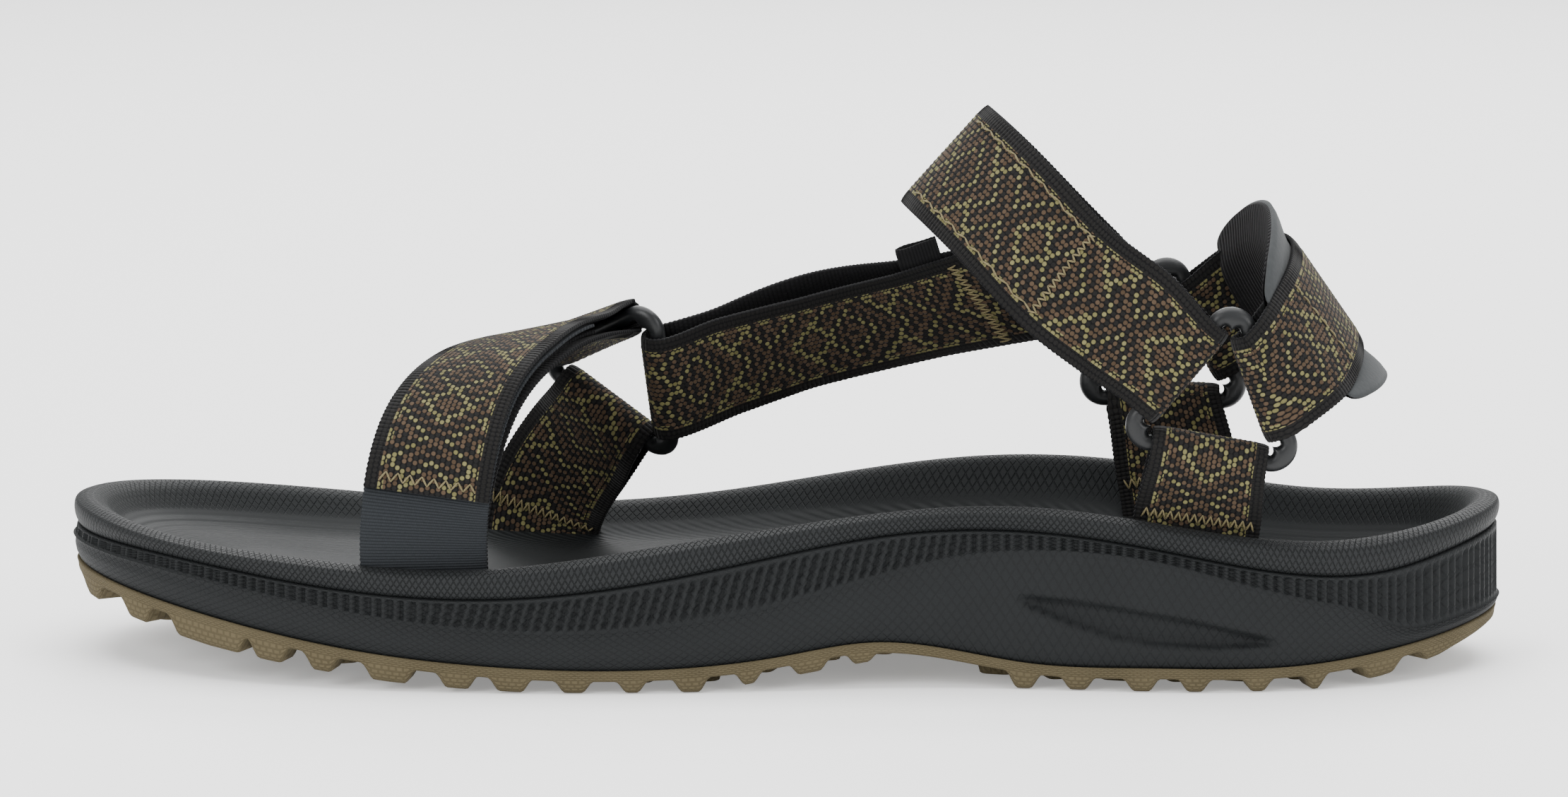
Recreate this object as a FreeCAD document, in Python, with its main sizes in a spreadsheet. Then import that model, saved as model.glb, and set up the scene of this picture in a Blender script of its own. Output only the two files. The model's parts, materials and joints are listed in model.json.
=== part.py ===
import FreeCAD, Part
import math
import os
from FreeCAD import Placement, Rotation, Vector

# Strappy sport sandal for the right foot, in millimetres.
# +X runs to the heel, -Y is the inner (medial) side of the foot, +Z is up.
# The origin is under the middle of the sole, on the ground.

doc = FreeCAD.newDocument("sandal")

# ---------------------------------------------------------------- sizes

SIZES = {
    "webbing_width": 25.0,
    "webbing_at_bar": 19.5,
    "webbing_thick": 1.5,
    "tape_width": 22.0,
    "tape_at_bar": 21.0,
    "tape_thick": 1.2,
    "ring_side": 25.0,
    "ring_corner": 5.3,
    "ring_bar": 3.4,
    "ring_thick": 3.2,
    "ring_edge": 0.9,
    "wrap_inside": 2.6,
    "loop_inside": 2.5,
    "heel_loop_inside": 3.1,
    "layer_gap": 0.3,
    "short_of_bar": 4.2,
    "ease_length": 15.0,
    "rim_width": 7.5,
    "seat_inset": 4.0,
    "footbed_thick": 5.0,
    "plate_thick": 2.0,
    "lug_taper": 0.8,
    "lug_wide": 8.0,
    "lug_long": 7.0,
    "lug_pitch": 12.4,
    "slot_long": 27.0,
    "tail_slot": 3.4,
    "loop_slot": 5.2,
    "shock_pad_radius": 22.0,
    "shank_long": 84.0,
    "shank_wide": 22.0,
    "shank_thick": 1.6,
    "pad_end_width": 27.0,
    "pad_mid_width": 43.0,
    "foam_thick": 4.0,
    "facing_thick": 0.8,
    "lining_thick": 0.8,
    "pull_tab": 16.0,
    "side_tab_long": 9.0,
    "connector_bow": 5.0,
}

sheet = doc.addObject("Spreadsheet::Sheet", "sizes")
for row, (word, value) in enumerate(SIZES.items(), start=1):
    sheet.set(f"A{row}", word)
    sheet.set(f"B{row}", str(value))
    sheet.setAlias(f"B{row}", word)
doc.recompute()


def size(word):
    """The value that the sheet holds for a word."""
    return float(getattr(sheet, word))


# Half the clear distances that follow from the sheet.
webbing = size("webbing_thick")
tape = size("tape_thick")
gap = size("layer_gap")
ring_inradius = size("ring_side") / (2.0 * math.sqrt(3.0))
bar_from_centre = ring_inradius + size("ring_corner") - size("ring_bar") / 2.0

# ---------------------------------------------------------------- outline and profiles

# Outer edge of the sole seen from above: inner side from toe to heel, then back.
OUTLINE = [
    (-149.0, 2.0), (-141.5, -19.0), (-123.0, -35.5), (-99.0, -45.5), (-68.0, -51.2),
    (-35.0, -52.5), (0.0, -49.6), (25.0, -46.8), (52.0, -48.0), (80.0, -51.3),
    (106.0, -49.0), (129.0, -39.5), (144.0, -25.0), (149.0, -9.0), (144.0, 5.0),
    (130.0, 14.8), (109.0, 21.5), (84.0, 26.2), (60.0, 30.0), (34.0, 36.2),
    (6.0, 44.2), (-26.0, 50.4), (-56.0, 52.5), (-84.0, 51.0), (-110.0, 45.6),
    (-131.0, 35.2), (-144.5, 20.0),
]

# Heights along the sole: (X, Z) points of each boundary, from toe to heel.
OUTSOLE_TOP = [
    (-156.0, 20.0), (-139.0, 17.0), (-116.0, 12.6), (-86.0, 7.6), (-60.0, 5.2),
    (-20.0, 4.9), (0.0, 7.0), (18.0, 9.4), (32.0, 8.2), (50.0, 5.2),
    (75.0, 4.7), (104.0, 4.8), (128.0, 7.4), (156.0, 12.4),
]
PARTING_INNER = [
    (-156.0, 27.0), (-135.0, 26.6), (-100.0, 22.4), (-68.0, 20.0), (-40.0, 21.8),
    (-8.0, 27.7), (22.0, 33.2), (48.0, 33.7), (76.0, 30.0), (104.0, 24.6),
    (124.0, 24.0), (140.0, 27.4), (156.0, 30.5),
]
PARTING_OUTER = [
    (-156.0, 27.0), (-135.0, 25.2), (-100.0, 19.8), (-68.0, 16.8), (-40.0, 16.4),
    (-8.0, 19.6), (22.0, 25.2), (48.0, 29.6), (76.0, 29.4), (104.0, 25.8),
    (124.0, 24.8), (140.0, 27.4), (156.0, 30.5),
]
RIM_INNER = [
    (-156.0, 34.0), (-132.0, 29.2), (-98.0, 26.4), (-66.0, 25.2), (-34.0, 29.2),
    (0.0, 34.5), (24.0, 37.2), (47.0, 37.8), (71.0, 35.3), (97.0, 31.2),
    (113.0, 30.1), (132.0, 31.6), (156.0, 36.0),
]
RIM_OUTER = [
    (-156.0, 34.0), (-132.0, 30.0), (-100.0, 25.2), (-68.0, 21.8), (-38.0, 21.4),
    (-12.0, 24.0), (14.0, 29.0), (40.0, 33.8), (60.0, 35.4), (84.0, 34.0),
    (113.0, 30.6), (132.0, 31.8), (156.0, 36.0),
]
FOOTBED = [
    (-156.0, 28.0), (-140.0, 24.4), (-120.0, 20.4), (-95.0, 17.0), (-60.0, 15.6),
    (-28.0, 16.2), (0.0, 18.8), (30.0, 22.0), (60.0, 22.8), (90.0, 21.2),
    (115.0, 20.4), (140.0, 23.0), (156.0, 26.0),
]
# Ground line under the lugs: flat, with a toe spring, an arch and a heel bevel.
GROUND = [
    (-146.0, 12.6), (-134.0, 10.2), (-119.0, 7.0), (-106.0, 4.9), (-95.0, 3.4),
    (-81.0, 1.7), (-67.0, 0.7), (-52.0, 0.0), (-16.0, 0.0), (-6.0, 1.6),
    (5.0, 3.4), (17.0, 5.4), (40.0, 1.6), (48.0, 0.0), (110.0, 0.0),
    (123.0, 1.6), (136.0, 4.4), (149.0, 9.0),
]

SIDE_REACH = 60.0
TALL = 80.0
DEEP = -6.0


def height_at(points, x):
    """Straight-line reading of a height profile."""
    for (x0, z0), (x1, z1) in zip(points, points[1:]):
        if x0 <= x <= x1:
            return z0 + (z1 - z0) * (x - x0) / (x1 - x0)
    return points[0][1] if x < points[0][0] else points[-1][1]


def raised(points, rise):
    """A height profile moved up by a fixed amount."""
    return [(x, z + rise) for x, z in points]


def spline_through(points):
    """A smooth curve through points of the XY plane of a sketch."""
    curve = Part.BSplineCurve()
    curve.interpolate([Vector(x, y, 0.0) for x, y in points])
    return curve


def straight(x0, y0, x1, y1):
    return Part.LineSegment(Vector(x0, y0, 0.0), Vector(x1, y1, 0.0))


def closed_curve(points):
    """A smooth closed curve through points."""
    curve = Part.BSplineCurve()
    curve.interpolate(Points=points, PeriodicFlag=True)
    return curve


def outline_prism(name, inset=None):
    """The sole's outline pulled upwards, moved in by the inset if there is one."""
    points = [Vector(x, y, 0.0) for x, y in OUTLINE]
    curve = closed_curve(points)
    if inset:
        moved = []
        for point in points:
            along = curve.tangent(curve.parameter(point))[0]
            moved.append(point + Vector(-along.y, along.x, 0.0) * size(inset))
        curve = closed_curve(moved)
    sketch = doc.addObject("Sketcher::SketchObject", name + "_outline")
    sketch.addGeometry(curve, False)
    sketch.Placement = Placement(Vector(0.0, 0.0, DEEP), Rotation())
    prism = doc.addObject("Part::Extrusion", name)
    prism.Base = sketch
    prism.DirMode = "Custom"
    prism.Dir = Vector(0.0, 0.0, 1.0)
    prism.LengthFwd = TALL
    prism.Solid = True
    return prism


def side_sketch(name, y, lower, upper):
    """A closed side profile between two height lines, on the plane at y."""
    sketch = doc.addObject("Sketcher::SketchObject", name)
    (start, low_start), (end, low_end) = lower[0], lower[-1]
    high_start, high_end = upper[0][1], upper[-1][1]
    for line in (
        spline_through(lower) if len(lower) > 2 else straight(start, low_start, end, low_end),
        straight(end, low_end, end, high_end),
        spline_through(upper) if len(upper) > 2 else straight(start, high_start, end, high_end),
        straight(start, high_start, start, low_start),
    ):
        sketch.addGeometry(line, False)
    sketch.Placement = Placement(Vector(0.0, y, 0.0), Rotation(Vector(1.0, 0.0, 0.0), 90.0))
    return sketch


def band(name, lower, upper, lower_far=None, upper_far=None):
    """Solid between two height lines, which may differ from inner to outer side."""
    near = side_sketch(name + "_near", -SIDE_REACH, lower, upper)
    far = side_sketch(name + "_far", SIDE_REACH, lower_far or lower, upper_far or upper)
    loft = doc.addObject("Part::Loft", name)
    loft.Sections = [near, far]
    loft.Solid = True
    loft.Ruled = True
    return loft


def level(points, z):
    """A straight height line with the same ends as another."""
    return [(points[0][0], z), (points[-1][0], z)]


def common(name, base, tool):
    result = doc.addObject("Part::Common", name)
    result.Base = base
    result.Tool = tool
    return result


def cut(name, base, tool):
    result = doc.addObject("Part::Cut", name)
    result.Base = base
    result.Tool = tool
    return result


def fuse(name, shapes):
    result = doc.addObject("Part::MultiFuse", name)
    result.Shapes = shapes
    return result


def box(name, centre, long, wide, low, high, turn=0.0):
    """A box on its own vertical axis: long and wide are words of the sheet."""
    shape = doc.addObject("Part::Box", name)
    shape.setExpression("Length", f"sizes.{long}")
    shape.setExpression("Width", f"sizes.{wide}")
    shape.Height = high - low
    rotation = Rotation(Vector(0.0, 0.0, 1.0), turn)
    corner = rotation.multVec(Vector(-size(long) / 2.0, -size(wide) / 2.0, 0.0))
    shape.Placement = Placement(Vector(centre[0], centre[1], low) + corner, rotation)
    return shape


parts = []


def keep(obj, name):
    """Name an object as a sub-part that is written out."""
    obj.Label = name
    parts.append(obj)
    return obj


# ---------------------------------------------------------------- strap routes

# Ring centres, and how far each ring is turned in its own plane (degrees).
MEDIAL_RING = Vector(88.5, -44.5, 59.2)
LATERAL_RING = Vector(80.9, 20.0, 59.9)
TOE_RING = Vector(-34.5, 17.7, 54.6)
MEDIAL_TURN = -10.0
LATERAL_TURN = -1.5


def upright_axes(turn):
    """In-plane axes of a ring that stands on edge, parallel to the XZ plane."""
    angle = math.radians(turn)
    return (Vector(math.cos(angle), 0.0, math.sin(angle)),
            Vector(-math.sin(angle), 0.0, math.cos(angle)))


MEDIAL_AXES = upright_axes(MEDIAL_TURN)
LATERAL_AXES = upright_axes(LATERAL_TURN)
TOE_AXES = (Vector(0.782, -0.324, -0.532), Vector(0.323, -0.540, 0.778))


def ring_vertex(axes, degrees):
    """Direction from a ring's centre at an angle in its own plane."""
    angle = math.radians(degrees)
    return axes[0] * math.cos(angle) + axes[1] * math.sin(angle)


def bar(centre, axes, degrees):
    """Middle and direction of the ring's bar that lies at an angle from its centre."""
    out = ring_vertex(axes, degrees)
    along = ring_vertex(axes, degrees + 90.0)
    return centre + out * bar_from_centre, along


LOWER_BAR = 270.0
REAR_BAR = 30.0
FRONT_BAR = 150.0


class Station:
    """One cross-section of a strap: its middle, width direction and travel direction."""

    def __init__(self, centre, across, along, started, left):
        self.centre = centre
        self.along = Vector(along).normalize()
        flat = across - self.along * across.dot(self.along)
        self.across = flat.normalize()
        self.started = started
        self.left = left

    def face(self):
        """Normal of the strap's face."""
        return self.across.cross(self.along)

    def moved(self, distance):
        centre = self.centre + self.face() * distance
        return Station(centre, self.across, self.along, self.started, self.left)

    def turned_back(self):
        return Station(self.centre, self.across, self.along * -1.0, self.started, self.left)

    def spread(self):
        """Share of the full width: a strap is gathered where it goes round a bar."""
        return min(1.0, min(self.started, self.left) / size("ease_length"))


FAR = 1000.0


def route(points, widths, count, start_at_bar=False):
    """Stations along a smooth line through points, with a width direction at each."""
    curve = Part.BSplineCurve()
    curve.interpolate([Vector(*point) for point in points])
    knots = [curve.parameter(Vector(*point)) for point in points]
    total = curve.length()
    places = curve.discretize(Number=count)
    stations = []
    for index, place in enumerate(places):
        here = curve.parameter(place)
        across = Vector(*widths[-1])
        for (k0, w0), (k1, w1) in zip(zip(knots, widths), zip(knots[1:], widths[1:])):
            if k0 <= here <= k1:
                share = (here - k0) / (k1 - k0)
                across = Vector(*w0) * (1.0 - share) + Vector(*w1) * share
                break
        along = curve.tangent(here)[0]
        gone = total * index / (count - 1)
        started = gone if start_at_bar else FAR
        stations.append(Station(Vector(place), across, along, started, total - gone))
    return stations


def eased(stations, far, near, end="left"):
    """Move stations off their line, by one distance away from a bar and another at it."""
    result = []
    for station in stations:
        share = max(0.0, 1.0 - getattr(station, end) / size("ease_length"))
        share = share * share * (3.0 - 2.0 * share)
        result.append(station.moved(far + (near - far) * share))
    return result


def back(stations):
    """The same stations travelled the other way."""
    return [station.turned_back() for station in reversed(stations)]


def wrap(bar_at, station, side, heading, inside, steps=6):
    """Stations of half a turn round a bar, from one side of the strap to the other.

    Side is 1 when the turn starts on the station's face and -1 when it starts behind it;
    heading is 1 when it first runs the way the station does and -1 the other way.
    """
    middle, line = bar_at
    across = line if line.dot(station.across) > 0.0 else line * -1.0
    along = (station.along - across * across.dot(station.along)).normalize()
    spoke = across.cross(along) * side
    travel = along * heading
    radius = inside + webbing / 2.0
    stations = []
    for step in range(steps + 1):
        angle = math.pi * step / steps
        place = middle + (spoke * math.cos(angle) + travel * math.sin(angle)) * radius
        way = travel * math.cos(angle) - spoke * math.sin(angle)
        stations.append(Station(place, across, way, 0.0, 0.0))
    return stations


def strap(name, stations, wide="webbing_width", at_bar="webbing_at_bar", thick="webbing_thick"):
    """A strap: a loft through flat sections whose sizes come from the sheet."""
    sections = []
    for index, station in enumerate(stations):
        share = station.spread()
        plane = doc.addObject("Part::Plane", f"{name}_section_{index}")
        plane.setExpression("Length", f"sizes.{at_bar} + (sizes.{wide} - sizes.{at_bar}) * {share:.4f}")
        plane.setExpression("Width", f"sizes.{thick}")
        length = size(at_bar) + (size(wide) - size(at_bar)) * share
        face = station.face()
        rotation = Rotation(station.across, face, station.across.cross(face), "ZXY")
        corner = station.centre - station.across * (length / 2.0) - face * (size(thick) / 2.0)
        plane.Placement = Placement(corner, rotation)
        sections.append(plane)
    loft = doc.addObject("Part::Loft", name + "_loft")
    loft.Sections = sections
    loft.Solid = True
    loft.Ruled = True
    return keep(loft, name)


HALF_PAIR = webbing / 2.0 + gap / 2.0


def anchor_loop(name, points, widths, bar_at, inside):
    """A doubled strap from its slot up to a ring's bar, round it and down again."""
    stations = route(points + [tuple(bar_at[0])], widths, 10)
    radius = inside + webbing / 2.0
    inner = eased(stations[:-1], -HALF_PAIR, -radius)
    outer = eased(stations[:-1], HALF_PAIR, radius)
    turn = wrap(bar_at, stations[-1], -1, 1, inside)
    return strap(name, inner + turn + back(outer))


medial_front = bar(MEDIAL_RING, MEDIAL_AXES, FRONT_BAR)
medial_rear = bar(MEDIAL_RING, MEDIAL_AXES, REAR_BAR)
medial_lower = bar(MEDIAL_RING, MEDIAL_AXES, LOWER_BAR)
lateral_front = bar(LATERAL_RING, LATERAL_AXES, FRONT_BAR)
lateral_rear = bar(LATERAL_RING, LATERAL_AXES, REAR_BAR)
lateral_lower = bar(LATERAL_RING, LATERAL_AXES, LOWER_BAR)
toe_front = bar(TOE_RING, TOE_AXES, FRONT_BAR)
toe_rear = bar(TOE_RING, TOE_AXES, REAR_BAR)
toe_lower = bar(TOE_RING, TOE_AXES, LOWER_BAR)

WRAP_RADIUS = size("wrap_inside") + webbing / 2.0
LOOP_TAPE_AT = webbing / 2.0 + tape / 2.0
HOOK_TAPE_AT = LOOP_TAPE_AT + tape + gap
FLAP_AT = HOOK_TAPE_AT + tape / 2.0 + webbing / 2.0


# Distances back from the closing ring's bar: the loop tape, the flap and the hook tape.
TOE_CLOSING = {"loop_start": 18.0, "loop_end": 74.0, "flap_start": 3.0, "flap_end": 80.0, "hook_start": 22.0}
ANKLE_CLOSING = {"loop_start": 16.0, "loop_end": 48.0, "flap_start": 3.0, "flap_end": 50.0, "hook_start": 20.0}


def closing_layers(prefix, stations, bar_at, span):
    """The fixed loop tape, and the flap with its hook tape that closes on it."""
    loop_run = [s.moved(LOOP_TAPE_AT) for s in stations if span["loop_start"] < s.left < span["loop_end"]]
    strap(prefix + "_loop_tape", loop_run, "tape_width", "tape_at_bar", "tape_thick")
    turn = wrap(bar_at, stations[-1], -1, 1, size("wrap_inside"))
    flap_run = [s for s in stations if span["flap_start"] < s.left < span["flap_end"]]
    strap(prefix + "_flap", turn + back(eased(flap_run, FLAP_AT, 2.0 * WRAP_RADIUS)))
    hook_end = span["flap_end"] + size("pull_tab")
    hook_run = [s.moved(HOOK_TAPE_AT) for s in stations if span["hook_start"] < s.left < hook_end]
    strap(prefix + "_hook_tape", hook_run, "tape_width", "tape_at_bar", "tape_thick")


def make_toe_strap():
    """Toe strap: up from the inner side, over the toes, round the toe ring, back as a flap."""
    middle, bar_line = toe_front
    across = bar_line * -1.0
    approach = Vector(0.36, 0.86, -0.10)
    approach = (approach - across * approach.dot(across)).normalize()
    end = middle - across.cross(approach) * WRAP_RADIUS
    points = [
        (-73.5, -41.6, 11.5), (-73.5, -41.6, 19.0), (-73.6, -43.8, 33.0), (-71.2, -41.8, 46.0),
        (-65.8, -32.5, 56.8), (-58.0, -18.0, 62.4), (-49.0, 1.0, 63.0), tuple(end),
    ]
    widths = [
        (1.0, 0.0, 0.0), (1.0, 0.0, 0.0), (1.0, 0.0, 0.02), (0.99, -0.10, 0.05),
        (0.96, -0.25, 0.10), (0.91, -0.36, 0.14), (0.82, -0.48, 0.26), tuple(across),
    ]
    stations = route(points, widths, 30)
    strap("toe_strap", [s for s in stations if s.left > size("short_of_bar")])
    closing_layers("toe", stations, toe_front, TOE_CLOSING)


ANKLE_TAIL = 26.0


def make_ankle_strap():
    """Ankle strap: from the inner ring over the instep to the outer ring, back as a flap."""
    start, start_line = medial_front
    middle, bar_line = lateral_front
    across = bar_line * -1.0
    rise = Vector(-0.72, 0.0, 0.69)
    fall = Vector(0.77, 0.06, -0.64)
    fall = (fall - across * fall.dot(across)).normalize()
    end = middle - across.cross(fall) * (WRAP_RADIUS + HALF_PAIR)
    points = [
        tuple(start), tuple(start + rise * 13.0 + Vector(0.0, 0.8, 0.0)), (60.6, -40.5, 83.4),
        (48.6, -32.6, 94.2), (38.6, -20.0, 101.8), (34.4, -7.0, 104.4), (36.4, 5.0, 101.6),
        (43.6, 12.8, 94.2), (53.6, 15.6, 83.6), tuple(end),
    ]
    lean = (0.667, 0.0, 0.747)
    widths = [tuple(start_line * -1.0)] + [lean] * 7 + [(0.63, 0.0, 0.78), tuple(across)]
    stations = route(points, widths, 30, start_at_bar=True)
    tail = [s for s in stations if 0.0 < s.started < ANKLE_TAIL]
    turn = wrap(medial_front, stations[0], -1, -1, size("loop_inside"))
    radius = size("loop_inside") + webbing / 2.0
    inner = back(eased(tail, -HALF_PAIR, -radius, "started"))
    outer = eased(stations[1:], HALF_PAIR, radius, "started")
    strap("ankle_strap", inner + turn + [s for s in outer if s.left > size("short_of_bar")])
    closing_layers("ankle", [s.moved(HALF_PAIR) for s in stations], lateral_front, ANKLE_CLOSING)


def make_connector():
    """Doubled strap from the toe ring to the front edge of the ankle strap's outer leg."""
    middle, bar_line = toe_rear
    points = [(41.0, 20.4, 70.4), (24.0, 20.4, 66.6), (4.0, 18.6, 61.8), (-12.0, 15.2, 57.4), tuple(middle)]
    widths = [
        (-0.60, -0.36, 0.71), (-0.32, -0.56, 0.76), (-0.22, -0.58, 0.79), (-0.14, -0.48, 0.87),
        tuple(bar_line),
    ]
    stations = route(points, widths, 14)
    radius = size("loop_inside") + webbing / 2.0
    inner = eased(stations[:-1], HALF_PAIR, radius)
    outer = eased(stations[:-1], -HALF_PAIR, -radius)
    last = len(outer) - 1
    outer = [s.moved(-size("connector_bow") * math.sin(math.pi * index / last) ** 2)
             for index, s in enumerate(outer)]
    turn = wrap(toe_rear, stations[-1], 1, 1, size("loop_inside"))
    strap("connector_strap", inner + turn + back(outer))


def make_anchor_loops():
    """The three doubled straps that tie the rings to the sole."""
    inside = size("loop_inside")
    level_width = (1.0, 0.0, 0.0)
    bar_line = medial_lower[1]
    anchor_loop("medial_side_strap", [(83.3, -41.2, 14.5), (83.3, -41.2, 22.0), (85.0, -42.8, 37.0)],
                [level_width, level_width, tuple(bar_line), tuple(bar_line)], medial_lower, inside)
    bar_line = lateral_lower[1]
    slanted = (-0.98, 0.19, 0.0)
    anchor_loop("lateral_side_strap", [(85.6, 15.3, 14.5), (85.5, 15.4, 22.0), (83.2, 17.2, 37.0)],
                [slanted, slanted, tuple(bar_line * -1.0), tuple(bar_line * -1.0)], lateral_lower, inside)
    bar_line = toe_lower[1]
    anchor_loop("toe_lateral_strap",
                [(-53.2, 42.2, 10.5), (-53.0, 42.0, 17.0), (-49.6, 38.4, 27.5), (-43.0, 30.4, 38.4)],
                [(-1.0, 0.0, 0.0), (-0.98, 0.10, 0.14), (-0.88, 0.24, 0.36),
                 tuple(bar_line * -1.0), tuple(bar_line * -1.0)], toe_lower, inside)


def heel_route():
    """Stations of the band behind the heel, from the inner ring to the outer ring."""
    start, start_line = medial_rear
    end, end_line = lateral_rear
    points = [
        tuple(start), (104.8, -42.6, 68.0), (109.2, -35.0, 72.8), (111.4, -24.0, 75.8),
        (111.8, -12.0, 77.0), (109.6, 0.0, 76.6), (105.2, 10.6, 74.4), (98.8, 17.6, 70.6), tuple(end),
    ]
    lean = (0.57, 0.0, -0.82)
    widths = [tuple(start_line * -1.0)] + [lean] * 7 + [tuple(end_line * -1.0)]
    return route(points, widths, 27, start_at_bar=True)


TAIL_LENGTH = 17.0


def make_heel_strap(stations):
    """Heel strap: one webbing with a loop and an inner tail at each ring."""
    inside = size("heel_loop_inside")
    radius = inside + webbing / 2.0
    run = stations[1:-1]
    outer = [s for s in eased(eased(run, HALF_PAIR, radius, "started"), 0.0, radius - HALF_PAIR)]
    head = [s for s in run if s.started < TAIL_LENGTH]
    foot = [s for s in run if s.left < TAIL_LENGTH]
    first_turn = wrap(medial_rear, stations[0], -1, -1, inside)
    last_turn = wrap(lateral_rear, stations[-1], 1, 1, inside)
    path = back(eased(head, -HALF_PAIR, -radius, "started")) + first_turn + outer + last_turn
    path += back(eased(foot, -HALF_PAIR, -radius))
    strap("heel_strap", path)


def pad_layer(name, stations, offset, thick):
    """One layer of the heel pad: widest at the back, narrow at its ends."""
    sections = []
    for index, station in enumerate(stations):
        share = math.sin(math.pi * (index + 0.5) / len(stations)) ** 0.7
        plane = doc.addObject("Part::Plane", f"{name}_section_{index}")
        plane.setExpression(
            "Length", f"sizes.pad_end_width + (sizes.pad_mid_width - sizes.pad_end_width) * {share:.4f}")
        plane.setExpression("Width", f"sizes.{thick}")
        length = size("pad_end_width") + (size("pad_mid_width") - size("pad_end_width")) * share
        face = station.face()
        middle = station.centre + face * offset
        rotation = Rotation(station.across, face, station.across.cross(face), "ZXY")
        corner = middle - station.across * (length / 2.0) - face * (size(thick) / 2.0)
        plane.Placement = Placement(corner, rotation)
        sections.append(plane)
    loft = doc.addObject("Part::Loft", name + "_loft")
    loft.Sections = sections
    loft.Solid = True
    loft.Ruled = True
    return keep(loft, name)


def make_heel_pad(stations):
    """Facing, foam and lining, stacked inwards from the strap between its two tails."""
    run = [s for s in stations if s.started > TAIL_LENGTH + 3.0 and s.left > TAIL_LENGTH + 3.0]
    facing_at = HALF_PAIR - webbing / 2.0 - size("facing_thick") / 2.0
    foam_at = facing_at - size("facing_thick") / 2.0 - size("foam_thick") / 2.0
    lining_at = foam_at - size("foam_thick") / 2.0 - size("lining_thick") / 2.0
    pad_layer("heel_pad_facing", run, facing_at, "facing_thick")
    pad_layer("heel_pad_foam", run, foam_at, "foam_thick")
    pad_layer("heel_pad_lining", run, lining_at, "lining_thick")


# ---------------------------------------------------------------- rings

def rounded_triangle(sketch, side, corner):
    """Three straight sides and three round corners about the sketch's origin."""
    reach = side / math.sqrt(3.0)
    for turn in (90.0, 210.0, 330.0):
        angle = math.radians(turn)
        middle = Vector(math.cos(angle), math.sin(angle), 0.0) * reach
        circle = Part.Circle(middle, Vector(0.0, 0.0, 1.0), corner)
        start = angle - math.radians(60.0)
        sketch.addGeometry(Part.ArcOfCircle(circle, start, start + math.radians(120.0)), False)
        after = math.radians(turn + 120.0)
        following = Vector(math.cos(after), math.sin(after), 0.0) * reach
        normal = Vector(math.cos(angle + math.radians(60.0)), math.sin(angle + math.radians(60.0)), 0.0)
        sketch.addGeometry(Part.LineSegment(middle + normal * corner, following + normal * corner), False)


def make_ring(name, centre, axes):
    """A flat rounded-triangle ring with eased edges."""
    body = doc.addObject("PartDesign::Body", name + "_body")
    sketch = body.newObject("Sketcher::SketchObject", name + "_shape")
    base = [f for f in body.Origin.OriginFeatures if f.Role == "XY_Plane"][0]
    sketch.AttachmentSupport = (base, [""])
    sketch.MapMode = "FlatFace"
    rounded_triangle(sketch, size("ring_side"), size("ring_corner"))
    rounded_triangle(sketch, size("ring_side"), size("ring_corner") - size("ring_bar"))
    pad = body.newObject("PartDesign::Pad", name + "_pad")
    pad.Profile = sketch
    pad.SideType = "Symmetric"
    pad.setExpression("Length", "sizes.ring_thick")
    doc.recompute()
    rims = []
    for index, edge in enumerate(pad.Shape.Edges, start=1):
        if abs(edge.BoundBox.ZMax - edge.BoundBox.ZMin) < 1e-6:
            rims.append(f"Edge{index}")
    fillet = body.newObject("PartDesign::Fillet", name + "_fillet")
    fillet.Base = (pad, rims)
    fillet.setExpression("Radius", "sizes.ring_edge")
    body.Tip = fillet
    body.Placement = Placement(centre, Rotation(axes[0], axes[1], axes[0].cross(axes[1]), "ZXY"))
    return keep(body, name)


# ---------------------------------------------------------------- sole

def lug(name, x, y, turn):
    """One tapered rubber lug from the ground line up into the plate."""
    low = height_at(GROUND, x)
    high = height_at(OUTSOLE_TOP, x) - size("plate_thick") * 0.5
    wedge = doc.addObject("Part::Wedge", name)
    for word, long in (("X", "lug_long"), ("Z", "lug_wide")):
        wedge.setExpression(f"{word}min", f"-sizes.{long} / 2 - sizes.lug_taper")
        wedge.setExpression(f"{word}max", f"sizes.{long} / 2 + sizes.lug_taper")
        wedge.setExpression(f"{word}2min", f"-sizes.{long} / 2")
        wedge.setExpression(f"{word}2max", f"sizes.{long} / 2")
    wedge.Ymin = 0.0
    wedge.Ymax = high - low
    upside_down = Rotation(Vector(1.0, 0.0, 0.0), -90.0)
    turned = Rotation(Vector(0.0, 0.0, 1.0), turn)
    wedge.Placement = Placement(Vector(x, y, high), turned.multiply(upside_down))
    return wedge


def half_widths(x):
    """The inner and outer edge of the sole at a place along it."""
    inner = height_at(OUTLINE[:14], x)
    outer_edge = [OUTLINE[0]] + OUTLINE[:12:-1]
    return inner, height_at(outer_edge, x)


ARCH_GAP = (24.0, 44.0)
LUGS_FROM, LUGS_TO = -135.0, 137.0
LUG_MARGIN = 2.4
LUG_ROW_PITCH = 15.5
LUG_TURN = 14.0


def make_lugs():
    """Rows of lugs across the forefoot and the heel, none under the arch."""
    lugs = []
    count = int((LUGS_TO - LUGS_FROM) / size("lug_pitch"))
    for step in range(count + 1):
        x = LUGS_FROM + step * size("lug_pitch")
        if ARCH_GAP[0] < x < ARCH_GAP[1]:
            continue
        inner, outer = half_widths(x)
        inset = size("lug_wide") / 2.0 + LUG_MARGIN
        low, high = inner + inset, outer - inset
        rows = max(2, int(round((high - low) / LUG_ROW_PITCH)) + 1)
        for row in range(rows):
            y = low + (high - low) * row / (rows - 1)
            turn = 0.0 if row in (0, rows - 1) else (LUG_TURN if row % 2 else -LUG_TURN)
            lugs.append(lug(f"lug_{step}_{row}", x, y, turn))
    return lugs


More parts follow.
